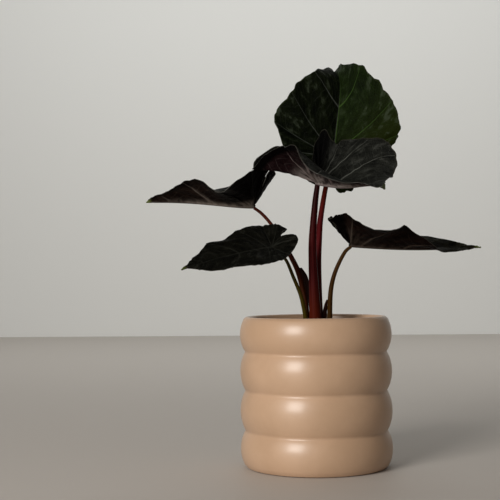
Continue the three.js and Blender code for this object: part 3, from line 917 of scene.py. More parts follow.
BLADES = {
    "blade_tall": dict(
        attach=(21, 36, 320), length=120, half=66, lobe=40, notch=14, heading=90,
        outline=LOBED, rake=1.5, veins=9, ragged=(1, 2.4),
        pitch=[93, 92, 90, 80, 30, -40], sway=[-6, -7, -7, -2, 14, 26],
        back=[20, 5], splay=[0, 0],
        lift=[[18, 20, 24, 24, 14, 8], [18, 20, 24, 22, 10, 6]],
        rise=[0, 3, -2, 2, -3, 4, -2, 0, 2, 0, 0, 0, 0, 0, 0, 2, 0, -2, 3, -3, 2, -2, 0, 0],
        reach=[[0, -1.7, -0.1, -0.6, 1.2, 0, 2.2, -1.9, -2.4, -1.8, -4, -5.5, -5, -2, 0],
              [0, 7.3, -4.5, -5.7, -1.4, 2.4, 5.3, -2.8, 0.1, -0.7, -2, -2.7, 0, 0, 0]],
        curl=[[0, 4.7, -0.2, -0.5, -0.3, 0, -5.8, 0.5, 0.5, 0, 0, 0, 0, 0, 0],
             [0, 12, 6.8, 9.8, 1, -1.7, 2.7, 0.8, 0, 0.2, 0.2, 0.3, 0, 0, 0]]),
    "blade_front": dict(
        attach=(4, -12, 288), length=106, half=67, lobe=56, notch=12, heading=-52,
        outline=ROUND, wave=1.7, pitch=[-12, -10, -5, 0, -6, -22], sway=[0, 0, 0, 0, -4, -8],
        back=[62, 15], splay=[0, 32],
        lift=[[52, 54, 48, 36, 16, 8], [30, 34, 28, 10, 4, 0]],
        rise=[0, 0, 0, 0, 0, 0, 0, 0, 10, 4, -6, 0, 0, 18, 10, -8, 6, 8, 5, 0, 0, 0, 0, 0],
        reach=[[0, -2, -2.3, -1.6, 4.8, 4.6, -3.7, -1, -10, -8.7, -0.6, -8.1, -6.9, -1.2, 0],
              [0, 0.8, 0, 0, 0.1, -0.4, 0, 0.4, -1.5, 3, 4.2, 4.2, 0, 0, 0]],
        curl=[[0, 5.2, 3, 1.4, 0.4, 1, -2.3, -0.5, 6.5, -1.9, -0.5, 5.2, -4.7, -1, 0],
             [0, 0.8, -0.5, -0.2, -0.3, 0.3, 0, 0.5, -1.2, -9, -10.2, -12, 0, 0, 0]]),
    "blade_upper_left": dict(
        attach=(-64, 16, 267), length=122, half=52, lobe=38, notch=18, heading=164,
        outline=HEART, pitch=[2, 6, 6, 4, 2, 0], sway=[0, 0], back=[63, 67], splay=[0, 0],
        lift=[[36, 16, 30, 32, 22, 5], [40, 32, 28, 20, 15, 5]],
        rise=[0, 0, 0, 0, -3, -5, -2, 4, 8, 6, 0, 0, 0, 0, 0, 0, 0, 0, 0, 0, 0, 0, 0, 0],
        reach=[[0, 2.6, 2.1, 1.8, 0.4, -0.3, 0.8, 3, 0, -0.5, -0.7, 0, 0, 0, 0],
              [0, 0, 0, 0, 0, 0, 0, 0, 0, 0, 0.2, 0, -1, 0, 0]],
        curl=[[0, 3.8, 3, 2.1, 0.3, 1.1, 0.8, -7.6, 0, -0.3, -0.3, 0, 0, 0, 0],
             [0, 0, 0, 0, 0, 0, 0, 0, 0, 0, 1, 1, 0, 0, 0]]),
    "blade_lower_left": dict(
        attach=(-43, -25, 223), length=98, half=42, lobe=24, notch=13, heading=205,
        outline=HEART, pitch=[-8, -10, -12, -14, -16, -20], sway=[0, 0], back=[45, 40],
        splay=[0, 0], lift=[[-18, -20, -20, -15, -10, 0], [36, 35, 28, 22, 20, 15]],
        rise=[0, -3, -2, 0, 0, 0, -2, -5, -8, -8, -4, 0, 0, 0, 0, 3, 3, 3, 0, 0, 0, 0, 2, 3],
        reach=[[0, -0.5, 2.5, 0.6, 0.2, -0.4, 0.2, -2.9, -5.5, -6.5, -2.4, -3.3, -3.5, 0, 0],
              [0, 0.2, 1.4, 1.3, 1.8, -1.1, -1.9, 0, -1.8, -0.3, -0.1, 4.1, 1.5, 0, 0]],
        curl=[[0, -1, -3.4, -2.7, -1.8, 1.2, -0.7, 2.1, 3.2, 3.9, 0.8, 2.1, 0.8, 0, 0],
             [0, 1.5, 1.4, 1.5, 1.7, -1.3, -2.2, 0, -2.2, -0.6, -0.2, -5.1, -0.8, 0, 0]]),
    "blade_right": dict(
        attach=(38, 6, 225), length=140, half=50, lobe=38, notch=14, heading=13,
        outline=HEART, pitch=[-5, -4, -2, 0, 1, 5], sway=[0, 0], back=[45, 45], splay=[0, 0],
        lift=[[44, 30, 18, 18, 14, 5], [28, 20, 20, 16, 0, 0]],
        rise=[0, 0, 0, 0, 0, 0, 0, 0, 0, 0, 0, 0, 0, 0, -3, -4, 0, 0, -2, -4, -3, 5, 0, -7],
        reach=[[0, 2.1, 1.1, 1.4, 1, 0, 0.6, -0.7, -1.9, -3.6, -5.9, -6.4, 1.7, 0, 0],
              [0, -1.5, 0.4, -7, -3, -6.8, 5, -2.6, 0.1, -5.2, -5, -2.8, 4.5, 0.1, 0]],
        curl=[[0, 1.5, 2.8, 6.8, 4.4, 0, -5.5, -1.1, -2, -2.6, -2.6, -0.7, 0.8, 0, 0],
             [0, -1.3, -1.4, -0.9, -2, 3.5, -0.4, -1.2, 0.9, 10.9, 6.5, -2.1, 1, -2.1, 0]]),
}
PLAIN = dict(rake=1, veins=7, wave=0.9, ragged=(0.8, 0.8))
print("blade tables", list(BLADES))

# %% [markdown]
# ## Blades: the fold
#
# A flat heart would look cut from card, so each flat point is carried to its place in the bent
# leaf. Ahead of the stalk it sits beside the bent midrib, turned up by the lift of its half.
# Behind the stalk it follows a straight ray, which climbs more the further back it points. A
# Lattice or Simple Deform modifier bends a sheet too, but not each half on its own.

# %% The fold
SPINE_STEPS = 240
CLIMB_TURN = math.radians(75)
PART_TURN = math.radians(12)


def spine_of(blade):
    """Point, direction, sideways and upward along the midrib."""
    share = np.linspace(0, 1, SPINE_STEPS + 1)
    heading = math.radians(blade["heading"])
    pitch = np.radians(through(blade["pitch"], share))[:, None]
    sway = np.radians(through(blade["sway"], share))[:, None]
    ahead = np.array([math.cos(heading), math.sin(heading), 0])
    left = np.array([-math.sin(heading), math.cos(heading), 0])
    up = np.array([0, 0, 1.0])
    along = ahead * np.cos(pitch) + up * np.sin(pitch)
    normal = up * np.cos(pitch) - ahead * np.sin(pitch)
    tangent = along * np.cos(sway) + left * np.sin(sway)
    side = left * np.cos(sway) - along * np.sin(sway)
    line = np.zeros((SPINE_STEPS + 1, 3))
    line[1:] = np.cumsum((tangent[1:] + tangent[:-1]) / 2, axis=0) * blade["length"] / SPINE_STEPS
    return line + np.array(blade["attach"]), tangent, side, normal


def half_value(pair, share, side):
    """A value from a left and a right table, side 1 left and -1 right."""
    return np.where(side > 0, through(pair[0], share), through(pair[1], share))


def bent(blade, s, t, side):
    """Place and upper normal of flat points: s along and t across the blade."""
    line, tangent, across, normal = spine_of(blade)
    stations = np.linspace(0, blade["length"], len(line))
    pick = lambda rows: np.stack([np.interp(s, stations, rows[:, k]) for k in range(3)], 1)
    point, sideways, up = pick(line), pick(across), pick(normal)
    share = np.clip(s / blade["length"], 0, 1)
    lift = np.radians(half_value(blade["lift"], share, side))[:, None]
    hand = side[:, None]
    reach = t[:, None]
    front = point + sideways * hand * np.cos(lift) * reach + up * np.sin(lift) * reach
    front_up = up * np.cos(lift) - sideways * hand * np.sin(lift)
    turn = np.arctan2(np.maximum(-s, 0), t + 1e-9)
    behind = smooth(turn / CLIMB_TURN)
    apart = smooth((math.pi / 2 - turn) / PART_TURN)
    shared = sum(blade["back"]) / 2
    rear = shared + (np.where(side > 0, *blade["back"]) - shared) * apart
    first = np.where(side > 0, blade["lift"][0][0], blade["lift"][1][0])
    climb = np.radians(first + (rear - first) * behind)[:, None]
    swing = (turn * (1 - np.where(side > 0, *blade["splay"]) / 90 * apart * behind))[:, None]
    flat = across[0] * hand * np.cos(swing) - tangent[0] * np.sin(swing)
    ray = np.hypot(s, t)[:, None]
    back = np.array(blade["attach"]) + (flat * np.cos(climb) + normal[0] * np.sin(climb)) * ray
    back_up = normal[0] * np.cos(climb) - flat * np.sin(climb)
    ahead = (s >= 0)[:, None]
    return np.where(ahead, front, back), np.where(ahead, front_up, back_up)


tall_tip = spine_of(BLADES["blade_tall"])[0][-1]
print("tall blade's midrib ends at", tall_tip.round(1))

# %% [markdown]
# ## Blades: columns that run like veins
#
# A grid of columns and rows is laid over each half. A column starts on the midrib and runs
# obliquely out to the margin, as a side vein does, so that veins, swelling and colour can all
# be placed by column. Rake says how much further back it starts. Near the stalk and in the
# lobes all columns start at the stalk. A column's number w is 0 at the tip and 1 at the notch.

# %% Columns of a blade
COLUMN_BOW = 0.03
SLOPE_STEP = 0.01


def outline_of(blade, w):
    """Flat point of the half outline, w from tip to notch."""
    along = [a * (blade["lobe"] if a < 0 else blade["length"]) for a, _ in blade["outline"]]
    across = [b * blade["half"] for _, b in blade["outline"]]
    along[-1] = -blade["notch"]
    return through(along, w), through(across, w)


def margin_of(blade, w, side):
    """The outline pushed outward by the reach of that half."""
    s, t = outline_of(blade, w)
    ahead_s, ahead_t = outline_of(blade, w + SLOPE_STEP)
    behind_s, behind_t = outline_of(blade, w - SLOPE_STEP)
    run_s, run_t = ahead_s - behind_s, ahead_t - behind_t
    push = half_value(blade["reach"], w, side) / np.hypot(run_s, run_t)
    return s + push * run_t, t - push * run_s


def flat_points(blade, w, f, side):
    """Flat place of column w at share f from the rib to the margin, and the column's ends."""
    edge_s, edge_t = margin_of(blade, w, side)
    plain_s, plain_t = outline_of(blade, w)
    start = plain_s - blade["rake"] * (1 - 0.8 * (2 * w) ** 2) * plain_t
    start = np.where((w < 0.5) & (start > 1), start, 0)
    bow = np.where(w < 0.5, COLUMN_BOW * blade["length"] * np.sin(2 * math.pi * w), 0)
    s = start + (edge_s - start) * f - bow * 4 * f * (1 - f)
    return s, edge_t * f, edge_s, edge_t, start


tip = outline_of(BLADES["blade_tall"], np.array([0.0]))
print("tall blade's tip, along and across", [float(value[0]) for value in tip])

# %% [markdown]
# ## Blades: vein lines
#
# Pale veins are what one sees first on a dark leaf. A painted picture would blur up close, so
# they are drawn in the blade's own flat millimetres. Each point carries three attributes: its
# flat place, the number of its column counted in veins, and its zone. From these the helpers
# below draw the midrib, the side veins, the chevrons of fine veins and the net between them.

# %% Vein lines
LONG_BLADE = 130.0
CHEVRON_STEP = 7.5
CHEVRON_RAKE = 0.8
ATTRIBUTES = {"flat": ("s", "t", "f"), "vein": ("number", "span", "length"),
              "zone": ("tip", "margin", "hand")}


def blade_place(group):
    """The blade's attributes, their parts, and what follows from them, by name."""
    p = {}
    for label, parts in ATTRIBUTES.items():
        p[label] = add_node(group, "ShaderNodeAttribute", attribute_name=label).outputs["Vector"]
        split = add_node(group, "ShaderNodeSeparateXYZ", {"Vector": p[label]})
        p.update(zip(parts, split.outputs))
    p["nearest"] = calc(group, "ROUND", p["number"])
    away = calc(group, "ABSOLUTE", minus(group, p["number"], p["nearest"]))
    p["gap"] = times(group, away, p["span"])
    p["out"] = times(group, p["f"], p["length"])
    p["share"] = calc(group, "DIVIDE", p["s"], LONG_BLADE)
    p["real"] = times(group, calc(group, "GREATER_THAN", p["nearest"], 0.5),
                      ramp(group, p["margin"], 0.08, 0.22))
    return p


def soft_line(group, away, width):
    """A soft line: full within half its width, gone at its width."""
    return ramp(group, away, times(group, width, 0.5), width, 1.0, 0.0)


def side_veins(group, p, width):
    width = times(group, width, ramp(group, p["f"], 0.0, 1.0, 1.0, 0.25))
    return times(group, p["real"], soft_line(group, p["gap"], width))


def midrib(group, p, width):
    width = times(group, width, ramp(group, p["share"], 0.0, 1.0, 1.0, 0.3))
    rib = times(group, soft_line(group, p["t"], width), ramp(group, p["s"], -2.5, -0.5))
    return times(group, rib, ramp(group, p["share"], 0.2, 0.7, 1.0, 0.25))


def fine_veins(group, p, width):
    wobble = times(group, cloud(group, p["flat"], 0.12), 5.0)
    chevron = minus(group, p["out"], times(group, p["gap"], CHEVRON_RAKE))
    step = calc(group, "DIVIDE", plus(group, chevron, wobble), CHEVRON_STEP)
    middle = calc(group, "ABSOLUTE", minus(group, calc(group, "FRACT", step), 0.5))
    away = minus(group, CHEVRON_STEP / 2, times(group, middle, CHEVRON_STEP))
    return soft_line(group, away, width)


print("attributes", ATTRIBUTES)

# %% [markdown]
# ## Blades: zones
#
# The same attributes say where on the blade a point is: in the heart around the stalk, in a
# rear lobe, at the rim, in the hollow beside the midrib, on the left half. Flow breaks the
# colour up along the veins, partly as the leaf's own tone and partly as painted sheen of the
# velvet nap, and streak marks painted sheen beside the side ribs. The group puts out masks and
# one height only, and each material decides on the colours.

# %% Vein group
LINES = ("Main", "Fine", "Net", "Height", "Flow", "Streak")
ZONES = ("Tip", "Heart", "Rear", "Left", "Low", "Rim", "Edge", "Outer", "Hollow")


def zone_masks(group, p):
    s, t, f, margin = p["s"], p["t"], p["f"], p["margin"]
    by_rib = times(group, ramp(group, t, 0.5, 9.0, 1.0, 0.0),
                   ramp(group, p["share"], 0.3, 0.85, 1.0, 0.0))
    reach = calc(group, "SQRT", plus(group, times(group, s, s), times(group, t, t)))
    by_stalk = ramp(group, reach, 6.0, 34.0, 1.0, 0.0)
    return {"Tip": p["tip"], "Heart": calc(group, "MAXIMUM", by_rib, by_stalk),
            "Rear": ramp(group, margin, 0.56, 0.68),
            "Left": calc(group, "GREATER_THAN", p["hand"], 0.0),
            "Low": ramp(group, margin, 0.22, 0.5), "Rim": ramp(group, f, 0.8, 0.9),
            "Edge": ramp(group, f, 0.975, 0.995), "Outer": ramp(group, f, 0.3, 0.8, 0.35, 1.0),
            "Hollow": times(group, ramp(group, s, 18.0, 46.0, 1.0, 0.0),
                            ramp(group, t, 4.0, 13.0))}


def flow_mask(group, p):
    """Soft streaks that run out along the columns, different on each half."""
    place = add_node(group, "ShaderNodeCombineXYZ", {
        "X": times(group, p["margin"], 34.0), "Y": times(group, p["out"], 0.06),
        "Z": times(group, p["hand"], 5.0)}).outputs["Vector"]
    return ramp(group, cloud(group, place, 1.0, detail=4.0, roughness=0.6), 0.36, 0.66)


def sheen_streak_mask(group, p):
    """Painted sheen: a pale band beside each side vein, where light catches the raised rib, with a
    cloudy edge.
    """
    drift = times(group, cloud(group, p["flat"], 0.09, detail=3.0), 4.0)
    band = ramp(group, plus(group, p["gap"], drift), 1.5, 6.5, 1.0, 0.0)
    return times(group, times(group, band, p["real"]), ramp(group, p["f"], 0.05, 0.95, 1.0, 0.0))


def make_vein_group():
    group, enter = new_group(
        "leaf veins",
        [("Midrib", "value", 1.3), ("Side Vein", "value", 0.8), ("Fine Vein", "value", 0.22),
         ("Net Scale", "value", 0.5)],
        [(label, "value") for label in LINES + ZONES])
    p = blade_place(group)
    main = calc(group, "MAXIMUM", side_veins(group, p, enter["Side Vein"]),
                midrib(group, p, enter["Midrib"]))
    fine = fine_veins(group, p, enter["Fine Vein"])
    cells = add_node(group, "ShaderNodeTexVoronoi", {"Vector": p["flat"],
                                                     "Scale": enter["Net Scale"]},
                     feature="DISTANCE_TO_EDGE").outputs["Distance"]
    height = times(group, ramp(group, cells, 0.0, 0.35), 0.5)
    height = minus(group, height, times(group, main, 0.9))
    height = minus(group, height, times(group, fine, 0.35))
    put_out(group, {"Main": main, "Fine": fine, "Net": ramp(group, cells, 0.02, 0.09, 1.0, 0.0),
                    "Height": height, "Flow": flow_mask(group, p),
                    "Streak": sheen_streak_mask(group, p), **zone_masks(group, p)})
    return group


veins = make_vein_group()
print("vein group puts out", LINES + ZONES)

# %% [markdown]
# ## Blades: finishes
#
# The upper side is velvet. A shader's sheen is made for such a nap, but much of it laid a grey
# veil over these dark leaves, so sheen and gloss stay very low, and painted sheen and a painted
# gloss highlight stand in for them as pale streaks along the veins. Where a rear lobe turns from
# the light, a painted shade takes its colour to near black. The first helper blends the base
# colour's two tones in the same way for both sides.

# %% Upper finishes
LIME = (0.12, 0.15, 0.035)
# Colour of the painted shade in rear lobes that turn from the light.
PAINTED_SHADE_BLACK = (0.0005, 0.0004, 0.0004)


def blade_base(tree, **widths):
    """The vein group's masks and the share between the deep and the light tone, which follows
    the flow streaks, partly as painted sheen, and the mottle.
    """
    marks = place_group(tree, veins, {key.replace("_", " "): widths[key] for key in widths})
    skin = place_group(tree, mottle, {"Patch Scale": 110.0, "Grain Scale": 1400.0})
    share = plus(tree, times(tree, marks["Flow"], 0.6), times(tree, skin["Patch"], 0.3))
    share = plus(tree, share, times(tree, skin["Height"], 0.15), clamp=True)
    return marks, share, skin["Patch"]


def velvet(name, deep, light, vein, edge, painted_gloss, bloom=0.004, vein_width=0.8, gloss=0.02,
           rear_shade=0.0, fine=0.25, swell=0.5, left=None, low=None, lime=0.8):
    """Upper side, with painted gloss toward the margin. Left may give the left half its own deep,
    light and vein colours.
    """
    material, tree, shader = new_material(
        name, Specular_IOR_Level=gloss, Sheen_Weight=bloom, Sheen_Roughness=0.4,
        Sheen_Tint=(0.8, 0.85, 0.75, 1))
    marks, share, patch = blade_base(tree, Side_Vein=vein_width, Midrib=1.4)
    color, pale = lay(tree, deep, light, share), vein
    if low:
        color = lay(tree, color, low, times(tree, marks["Low"], 0.8))
    if left:
        color = lay(tree, color, lay(tree, left[0], left[1], share), marks["Left"])
        pale = lay(tree, vein, left[2], marks["Left"])
    # Painted gloss highlight: pale patches along the flow streaks, strongest toward the margin.
    painted_gloss_mask = times(tree, ramp(tree, marks["Flow"], 0.55, 1.0), 0.45)
    painted_gloss_mask = times(tree, times(tree, painted_gloss_mask, ramp(tree, patch, 0.1, 0.9)), marks["Outer"])
    # Painted shade: the rear lobes go near black where they turn from the light.
    shadow = times(tree, marks["Rear"], rear_shade)
    strong = times(tree, marks["Main"], minus(tree, 0.9, shadow, clamp=True))
    for over, mask in ((painted_gloss, painted_gloss_mask), (pale, times(tree, marks["Net"], 0.06)),
                       (pale, times(tree, marks["Fine"], fine)), (PAINTED_SHADE_BLACK, shadow),
                       (pale, strong), (edge, marks["Edge"]),
                       (LIME, times(tree, marks["Tip"], lime))):
        color = lay(tree, color, over, mask)
    tree.links.new(color, shader.inputs["Base Color"])
    dull = ramp(tree, marks["Flow"], 0.3, 0.9, 0.56, 0.38)
    tree.links.new(dull, shader.inputs["Roughness"])
    press(tree, shader, plus(tree, marks["Height"], times(tree, share, 1.2)), swell, 1.0)
    return material


# The sixth colour of each upper finish is its painted gloss highlight.
dark_top = velvet("dark velvet", (0.0008, 0.0008, 0.0005), (0.0070, 0.0068, 0.0048),
                  (0.015, 0.0155, 0.012), (0.014, 0.0135, 0.0095), (0.020, 0.020, 0.016))
green_top = velvet("green velvet", (0.0014, 0.0032, 0.0004), (0.0100, 0.0185, 0.0038),
                   (0.034, 0.066, 0.014), (0.018, 0.024, 0.008), (0.050, 0.062, 0.042),
                   bloom=0.002, vein_width=0.9, fine=0.2, swell=0.6, gloss=0.03,
                   low=(0.0120, 0.0155, 0.0014),
                   left=((0.0007, 0.0013, 0.0003), (0.0052, 0.0078, 0.0018),
                         (0.048, 0.054, 0.045)))
grey_top = velvet("grey green velvet", (0.0012, 0.0014, 0.0011), (0.0195, 0.0205, 0.0168),
                  (0.100, 0.104, 0.090), (0.028, 0.027, 0.020), (0.058, 0.060, 0.053),
                  bloom=0.008, vein_width=1.5, rear_shade=0.97, swell=0.9, gloss=0.035,
                  lime=0.25)
olive_top = velvet("olive velvet", (0.0010, 0.0009, 0.0003), (0.0090, 0.0080, 0.0030),
                   (0.018, 0.017, 0.009), (0.018, 0.017, 0.008), (0.024, 0.022, 0.012))
print("upper finishes", [item.name for item in (dark_top, green_top, grey_top, olive_top)])

# %% [markdown]
# The underside is smoother and shows wine purple or brown between wide pale ribs, palest in the
# heart of the leaf, with painted sheen in pale bands beside the ribs. Painted shade darkens the
# rear lobes and the hollows by their masks, and the rims are darkened too. The cut edge of the
# blade gets a paler line of its own.

# %% Under finishes
# Colour of the painted shade on the underside.
UNDER_PAINTED_SHADE = (0.0007, 0.0005, 0.0005)


def underside(name, deep, light, rib, heart, streak=0.5, rear_shade=0.0, rim_shade=0.0,
              hollow_shade=0.0, left_only=False, lime=0.8):
    """Lower side. Streak sets how much painted sheen lies beside the ribs. With left_only, only
    the left half's rear lobe is shaded.
    """
    material, tree, shader = new_material(name, Roughness=0.42, Specular_IOR_Level=0.012)
    marks, share, _ = blade_base(tree, Side_Vein=1.7, Midrib=2.0, Fine_Vein=0.3)
    blotch = ramp(tree, share, 0.15, 0.7, 0.2, 1.0)
    shadow = times(tree, marks["Rear"], rear_shade)
    if left_only:
        shadow = times(tree, shadow, marks["Left"])
    for zone, amount in (("Rim", rim_shade), ("Hollow", hollow_shade)):
        shadow = calc(tree, "MAXIMUM", shadow, times(tree, marks[zone], amount))
    strong = times(tree, marks["Main"], minus(tree, 0.9, shadow, clamp=True))
    color = lay(tree, deep, light, share)
    # The second heart entry is painted sheen in pale bands beside the side ribs.
    for over, mask in ((heart, times(tree, marks["Heart"], blotch)),
                       (heart, times(tree, times(tree, marks["Streak"], streak), blotch)),
                       (rib, times(tree, marks["Net"], 0.04)),
                       (rib, times(tree, marks["Fine"], 0.2)), (UNDER_PAINTED_SHADE, shadow),
                       (rib, strong), (LIME, times(tree, marks["Tip"], lime))):
        color = lay(tree, color, over, mask)
    tree.links.new(color, shader.inputs["Base Color"])
    press(tree, shader, plus(tree, marks["Height"], share), 0.5, 0.9, invert=True)
    return material


def edge_finish(name, color):
    material, tree, shader = new_material(name, Roughness=0.55)
    rim = place_group(tree, mottle, {"Color A": color, "Color B": tuple(c * 0.6 for c in color),
                                     "Patch Scale": 90.0, "Grain Scale": 900.0, "Grain": 0.3})
    tree.links.new(rim["Color"], shader.inputs["Base Color"])
    return material


wine_under = underside("wine underside", (0.0026, 0.0006, 0.0009), (0.0170, 0.0078, 0.0088),
                       (0.16, 0.130, 0.122), (0.23, 0.200, 0.185), streak=0.22,
                       rear_shade=0.97, rim_shade=0.95, left_only=True, lime=0.25)
dusky_under = underside("dusky underside", (0.0014, 0.0004, 0.0004), (0.0130, 0.0075, 0.0055),
                        (0.10, 0.084, 0.071), (0.125, 0.107, 0.092), streak=0.9,
                        rear_shade=0.95, rim_shade=0.5, hollow_shade=0.95)
brown_under = underside("brown underside", (0.0018, 0.0005, 0.0005), (0.0150, 0.0076, 0.0056),
                        (0.06, 0.046, 0.036), (0.045, 0.033, 0.026),
                        rear_shade=0.92, rim_shade=0.5, hollow_shade=0.1)
olive_under = underside("olive underside", (0.006, 0.007, 0.0035), (0.018, 0.018, 0.0095),
                        (0.06, 0.06, 0.034), (0.022, 0.022, 0.012))
pale_edge = edge_finish("pale margin", (0.028, 0.026, 0.018))
BLADE_FINISH = {
    "blade_tall": (green_top, olive_under, "green_blade"),
    "blade_front": (grey_top, wine_under, "dark_blade"),
    "blade_upper_left": (dark_top, dusky_under, "dark_blade"),
    "blade_lower_left": (dark_top, dusky_under, "dark_blade"),
    "blade_right": (olive_top, brown_under, "dark_blade"),
}
print("blade finishes", len(BLADE_FINISH))

# %% [markdown]
# ## Blades: relief
#
# Between the side veins a velvet leaf swells and crumples softly, the fine veins press chevrons
# into it, and the margin waves from vein to vein. A displacement texture could do this, but in
# code it follows the columns exactly. Heights of about a millimetre are added along the normal,
# and the margin is nibbled into small uneven teeth, most on the tall leaf.

# %% Relief and margin
SWELL, SWELL_REACH = 1.3, 30
CRUMPLE = 0.55
CHEVRON_HEIGHT = 0.4
RUFFLE, RUFFLE_REACH = 0.35, 20
RISE_STEP = 15
WIDE_TEETH, FINE_TEETH = 9.5, 31
SMOOTH_FROM = 0.82


def relief(blade, w, side, f, s, t, gap, length, angle, vein):
    swell = np.sin(math.pi * vein) ** 2 * 4 * f * (1 - f)
    swell = swell * np.minimum(1, np.hypot(s, t) / SWELL_REACH)
    wave = np.where((w > 0.02) & (w < 0.98), np.cos(2 * math.pi * vein), 0) * f ** 3
    lifted = around(blade["rise"], angle / RISE_STEP) + half_value(blade["curl"], w, side)
    height = lifted * f ** 1.8 + SWELL * swell + blade["wave"] * wave
    spots = s + 40 * side
    crumple = np.sin(0.33 * spots + 1.6 * np.sin(0.19 * t + side))
    crumple = crumple * np.sin(0.29 * t + 1.3 * np.sin(0.17 * spots) + 2 * side)
    height += CRUMPLE * crumple * smooth(f * 2.5) * smooth((1.04 - f) * 6)
    chevron = (f * length - CHEVRON_RAKE * gap) / CHEVRON_STEP
    height += CHEVRON_HEIGHT * np.abs(np.sin(math.pi * chevron)) * smooth(gap / 2) * smooth(f * 5)
    ruffle = np.sin(angle * 0.21 + 1) + 0.7 * np.sin(angle * 0.53)
    return height + RUFFLE * ruffle * f ** 4 * np.minimum(1, np.hypot(s, t) / RUFFLE_REACH)


def ragged(blade, w, side, f):
    """Small uneven teeth of the margin, in mm outward, none on the rear lobes."""
    turn = np.where(side > 0, w * 2 * math.pi, w * 2 * math.pi + 2.1)
    teeth = np.abs(np.sin(WIDE_TEETH * turn + 0.8 * np.sin(3 * turn))) - 0.6
    fine = np.sin(FINE_TEETH * turn + 2 * np.sin(5 * turn))
    ends = smooth(w * 18) * smooth((SMOOTH_FROM - w) * 9)
    return np.where(side > 0, *blade["ragged"]) * (teeth + 0.3 * fine) * ends * f ** 7


print("teeth of the tall leaf, in mm", BLADES["blade_tall"]["ragged"])

# %% [markdown]
# ## Blades: ribs and thickness
#
# A leaf's ribs stand out below, so the sheet is laid deeper there. The Solidify modifier gives
# one thickness, but a vertex group can scale it from point to point: the group holds the depth
# of the blade as a share of the deepest rib. The modifier also gives the lower face and the
# edge their own materials, by an offset in the list.

# %% Ribs and thickness
BLADE_THICK = 0.55
RIB_DEEP = 2.6
SIDE_RIB_DEEP, SIDE_RIB_WIDE = 0.95, 1.1
MIDRIB_DEEP, MIDRIB_WIDE = 1.9, 1.6


def rib_depth(blade, vein, f, s, t, gap):
    """How far the ribs stand out below, in mm."""
    nearest = np.rint(vein)
    lateral = (nearest > 0) & (nearest < blade["veins"])
    size = np.where(lateral, SIDE_RIB_DEEP * (1 - 0.85 * f) * smooth(f * 6), 0)
    wide = SIDE_RIB_WIDE - 0.6 * f
    ridge = size * np.exp(-(gap / wide) ** 2)
    share = np.clip(s / blade["length"], 0, 1)
    middle = np.where(s > -2, MIDRIB_DEEP * (1 - 0.8 * share), 0)
    keel = middle * np.exp(-(t / (MIDRIB_WIDE - share)) ** 2)
    return np.maximum(ridge, keel)


def thicken(piece):
    make_active(piece)
    mesh = piece.data
    deep = np.empty(len(mesh.vertices), np.float32)
    mesh.attributes["deep"].data.foreach_get("value", deep)
    ribs = piece.vertex_groups.new(name="ribs")
    for k, value in enumerate(deep):
        ribs.add([k], float(min(value / RIB_DEEP, 1)), "REPLACE")
    wall = piece.modifiers.new("wall", "SOLIDIFY")
    wall.thickness = RIB_DEEP * MM
    wall.offset = -1
    wall.vertex_group = "ribs"
    wall.material_offset = 1
    wall.material_offset_rim = 2
    bpy.ops.object.modifier_apply(modifier="wall")


print("blade thickness from", BLADE_THICK, "to", RIB_DEEP, "mm")

# %% [markdown]
# ## Blades: the sheet
#
# Both halves are one grid: columns go around the leaf from notch to notch, rows go out from the
# midrib to the margin. Columns crowd together at the veins, where the form changes fastest. The
# attributes that the finishes read are stored before the seam along the midrib is merged.

# %% Helpers for the sheet
COLUMNS_PER_VEIN = 18
BLADE_ROWS = 54
COLUMN_CROWDING = 0.8
ROW_CROWDING = 1.35
TIP_START, TIP_SPAN = 0.94, 0.05
SIDESTEP = 0.004


def shares(count, u, v):
    """The half that each point of the grid is on, its column's number and its share outward."""
    side = np.where(u < 0.5, 1.0, -1.0)
    half = COLUMNS_PER_VEIN * count
    step = np.rint(np.abs(2 * u - 1) * half) / COLUMNS_PER_VEIN
    part = step - np.floor(step)
    crowd = COLUMN_CROWDING * np.sin(2 * math.pi * part) / (2 * math.pi)
    return side, (np.floor(step) + part - crowd) / count, v ** ROW_CROWDING


def vein_space(blade, w, f, side, run_s, run_t, length):
    """Distance between two veins at each point, from a small step to both sides."""
    near_s, near_t = flat_points(blade, np.clip(w + SIDESTEP, 0, 1), f, side)[:2]
    far_s, far_t = flat_points(blade, np.clip(w - SIDESTEP, 0, 1), f, side)[:2]
    area = np.abs((near_s - far_s) * run_t - (near_t - far_t) * run_s)
    return area / length / (2 * SIDESTEP) / blade["veins"]


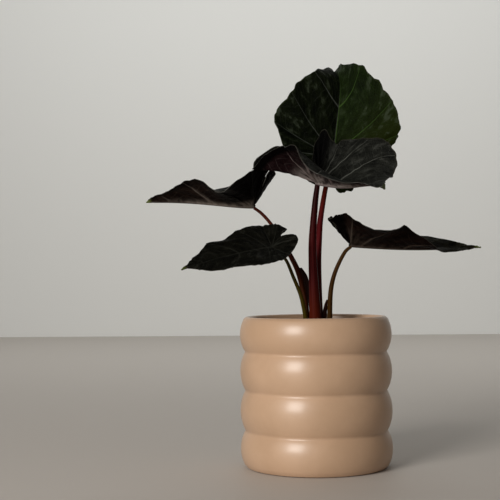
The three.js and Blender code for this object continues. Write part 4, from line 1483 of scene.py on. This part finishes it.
def store(mesh, label, values):
    """Writes a value or a vector for each point, as an attribute of the mesh."""
    flat = values.ndim == 1
    layer = mesh.attributes.new(label, "FLOAT" if flat else "FLOAT_VECTOR", "POINT")
    layer.data.foreach_set("value" if flat else "vector", values.astype(np.float32).ravel())


print("columns on half of a plain blade:", COLUMNS_PER_VEIN * PLAIN["veins"])

# %% [markdown]
# Each blade is then put together: its flat points are nibbled at the margin, carried into the
# bent leaf and raised by the relief, and the sheet is sewn and thickened. Its finishes come
# before the thickness, because the modifier counts on from them.

# %% Blade meshes


def make_blade(name, blade, materials):
    count = blade["veins"]
    piece, u, v = grid(name, 2 * COLUMNS_PER_VEIN * count, BLADE_ROWS)
    side, w, f = shares(count, u, v)
    s, t, edge_s, edge_t, start = flat_points(blade, w, f, side)
    run_s, run_t = edge_s - start, edge_t
    length = np.hypot(run_s, run_t) + 1e-6
    span = vein_space(blade, w, f, side, run_s, run_t, length)
    vein = w * count
    gap = np.abs(vein - np.rint(vein)) * span
    angle = np.degrees(np.arctan2(edge_t, edge_s)) * side % 360
    bite = ragged(blade, w, side, f) / length
    s, t = s + run_s * bite, np.maximum(t + run_t * bite, 0)
    points, normals = bent(blade, s, t, side)
    height = relief(blade, w, side, f, s, t, gap, length, angle, vein)
    move_points(piece, (points + normals * height[:, None]) * MM)
    tip = smooth((s / blade["length"] - TIP_START) / TIP_SPAN)
    folded = np.minimum(vein, count - vein)
    store(piece.data, "flat", np.stack([s, t, f], 1))
    store(piece.data, "vein", np.stack([folded, span, length], 1))
    store(piece.data, "zone", np.stack([tip, w, side], 1))
    store(piece.data, "deep", BLADE_THICK + rib_depth(blade, vein, f, s, t, gap))
    merge_seams(piece, 0.02 * MM)
    for material in materials:
        piece.data.materials.append(material)
    thicken(piece)
    shade(piece, 60)
    return piece


for name, shape in BLADES.items():
    top, below, slot = BLADE_FINISH[name]
    leaf = make_blade(name + "_leaf", {**PLAIN, **shape}, (top, below, pale_edge))
    hand_over(leaf, None, name)

# %% [markdown]
# ## Finish
#
# The selection is cleared and the view layer is updated.

# %% Finish
deselect()
bpy.context.view_layer.update()
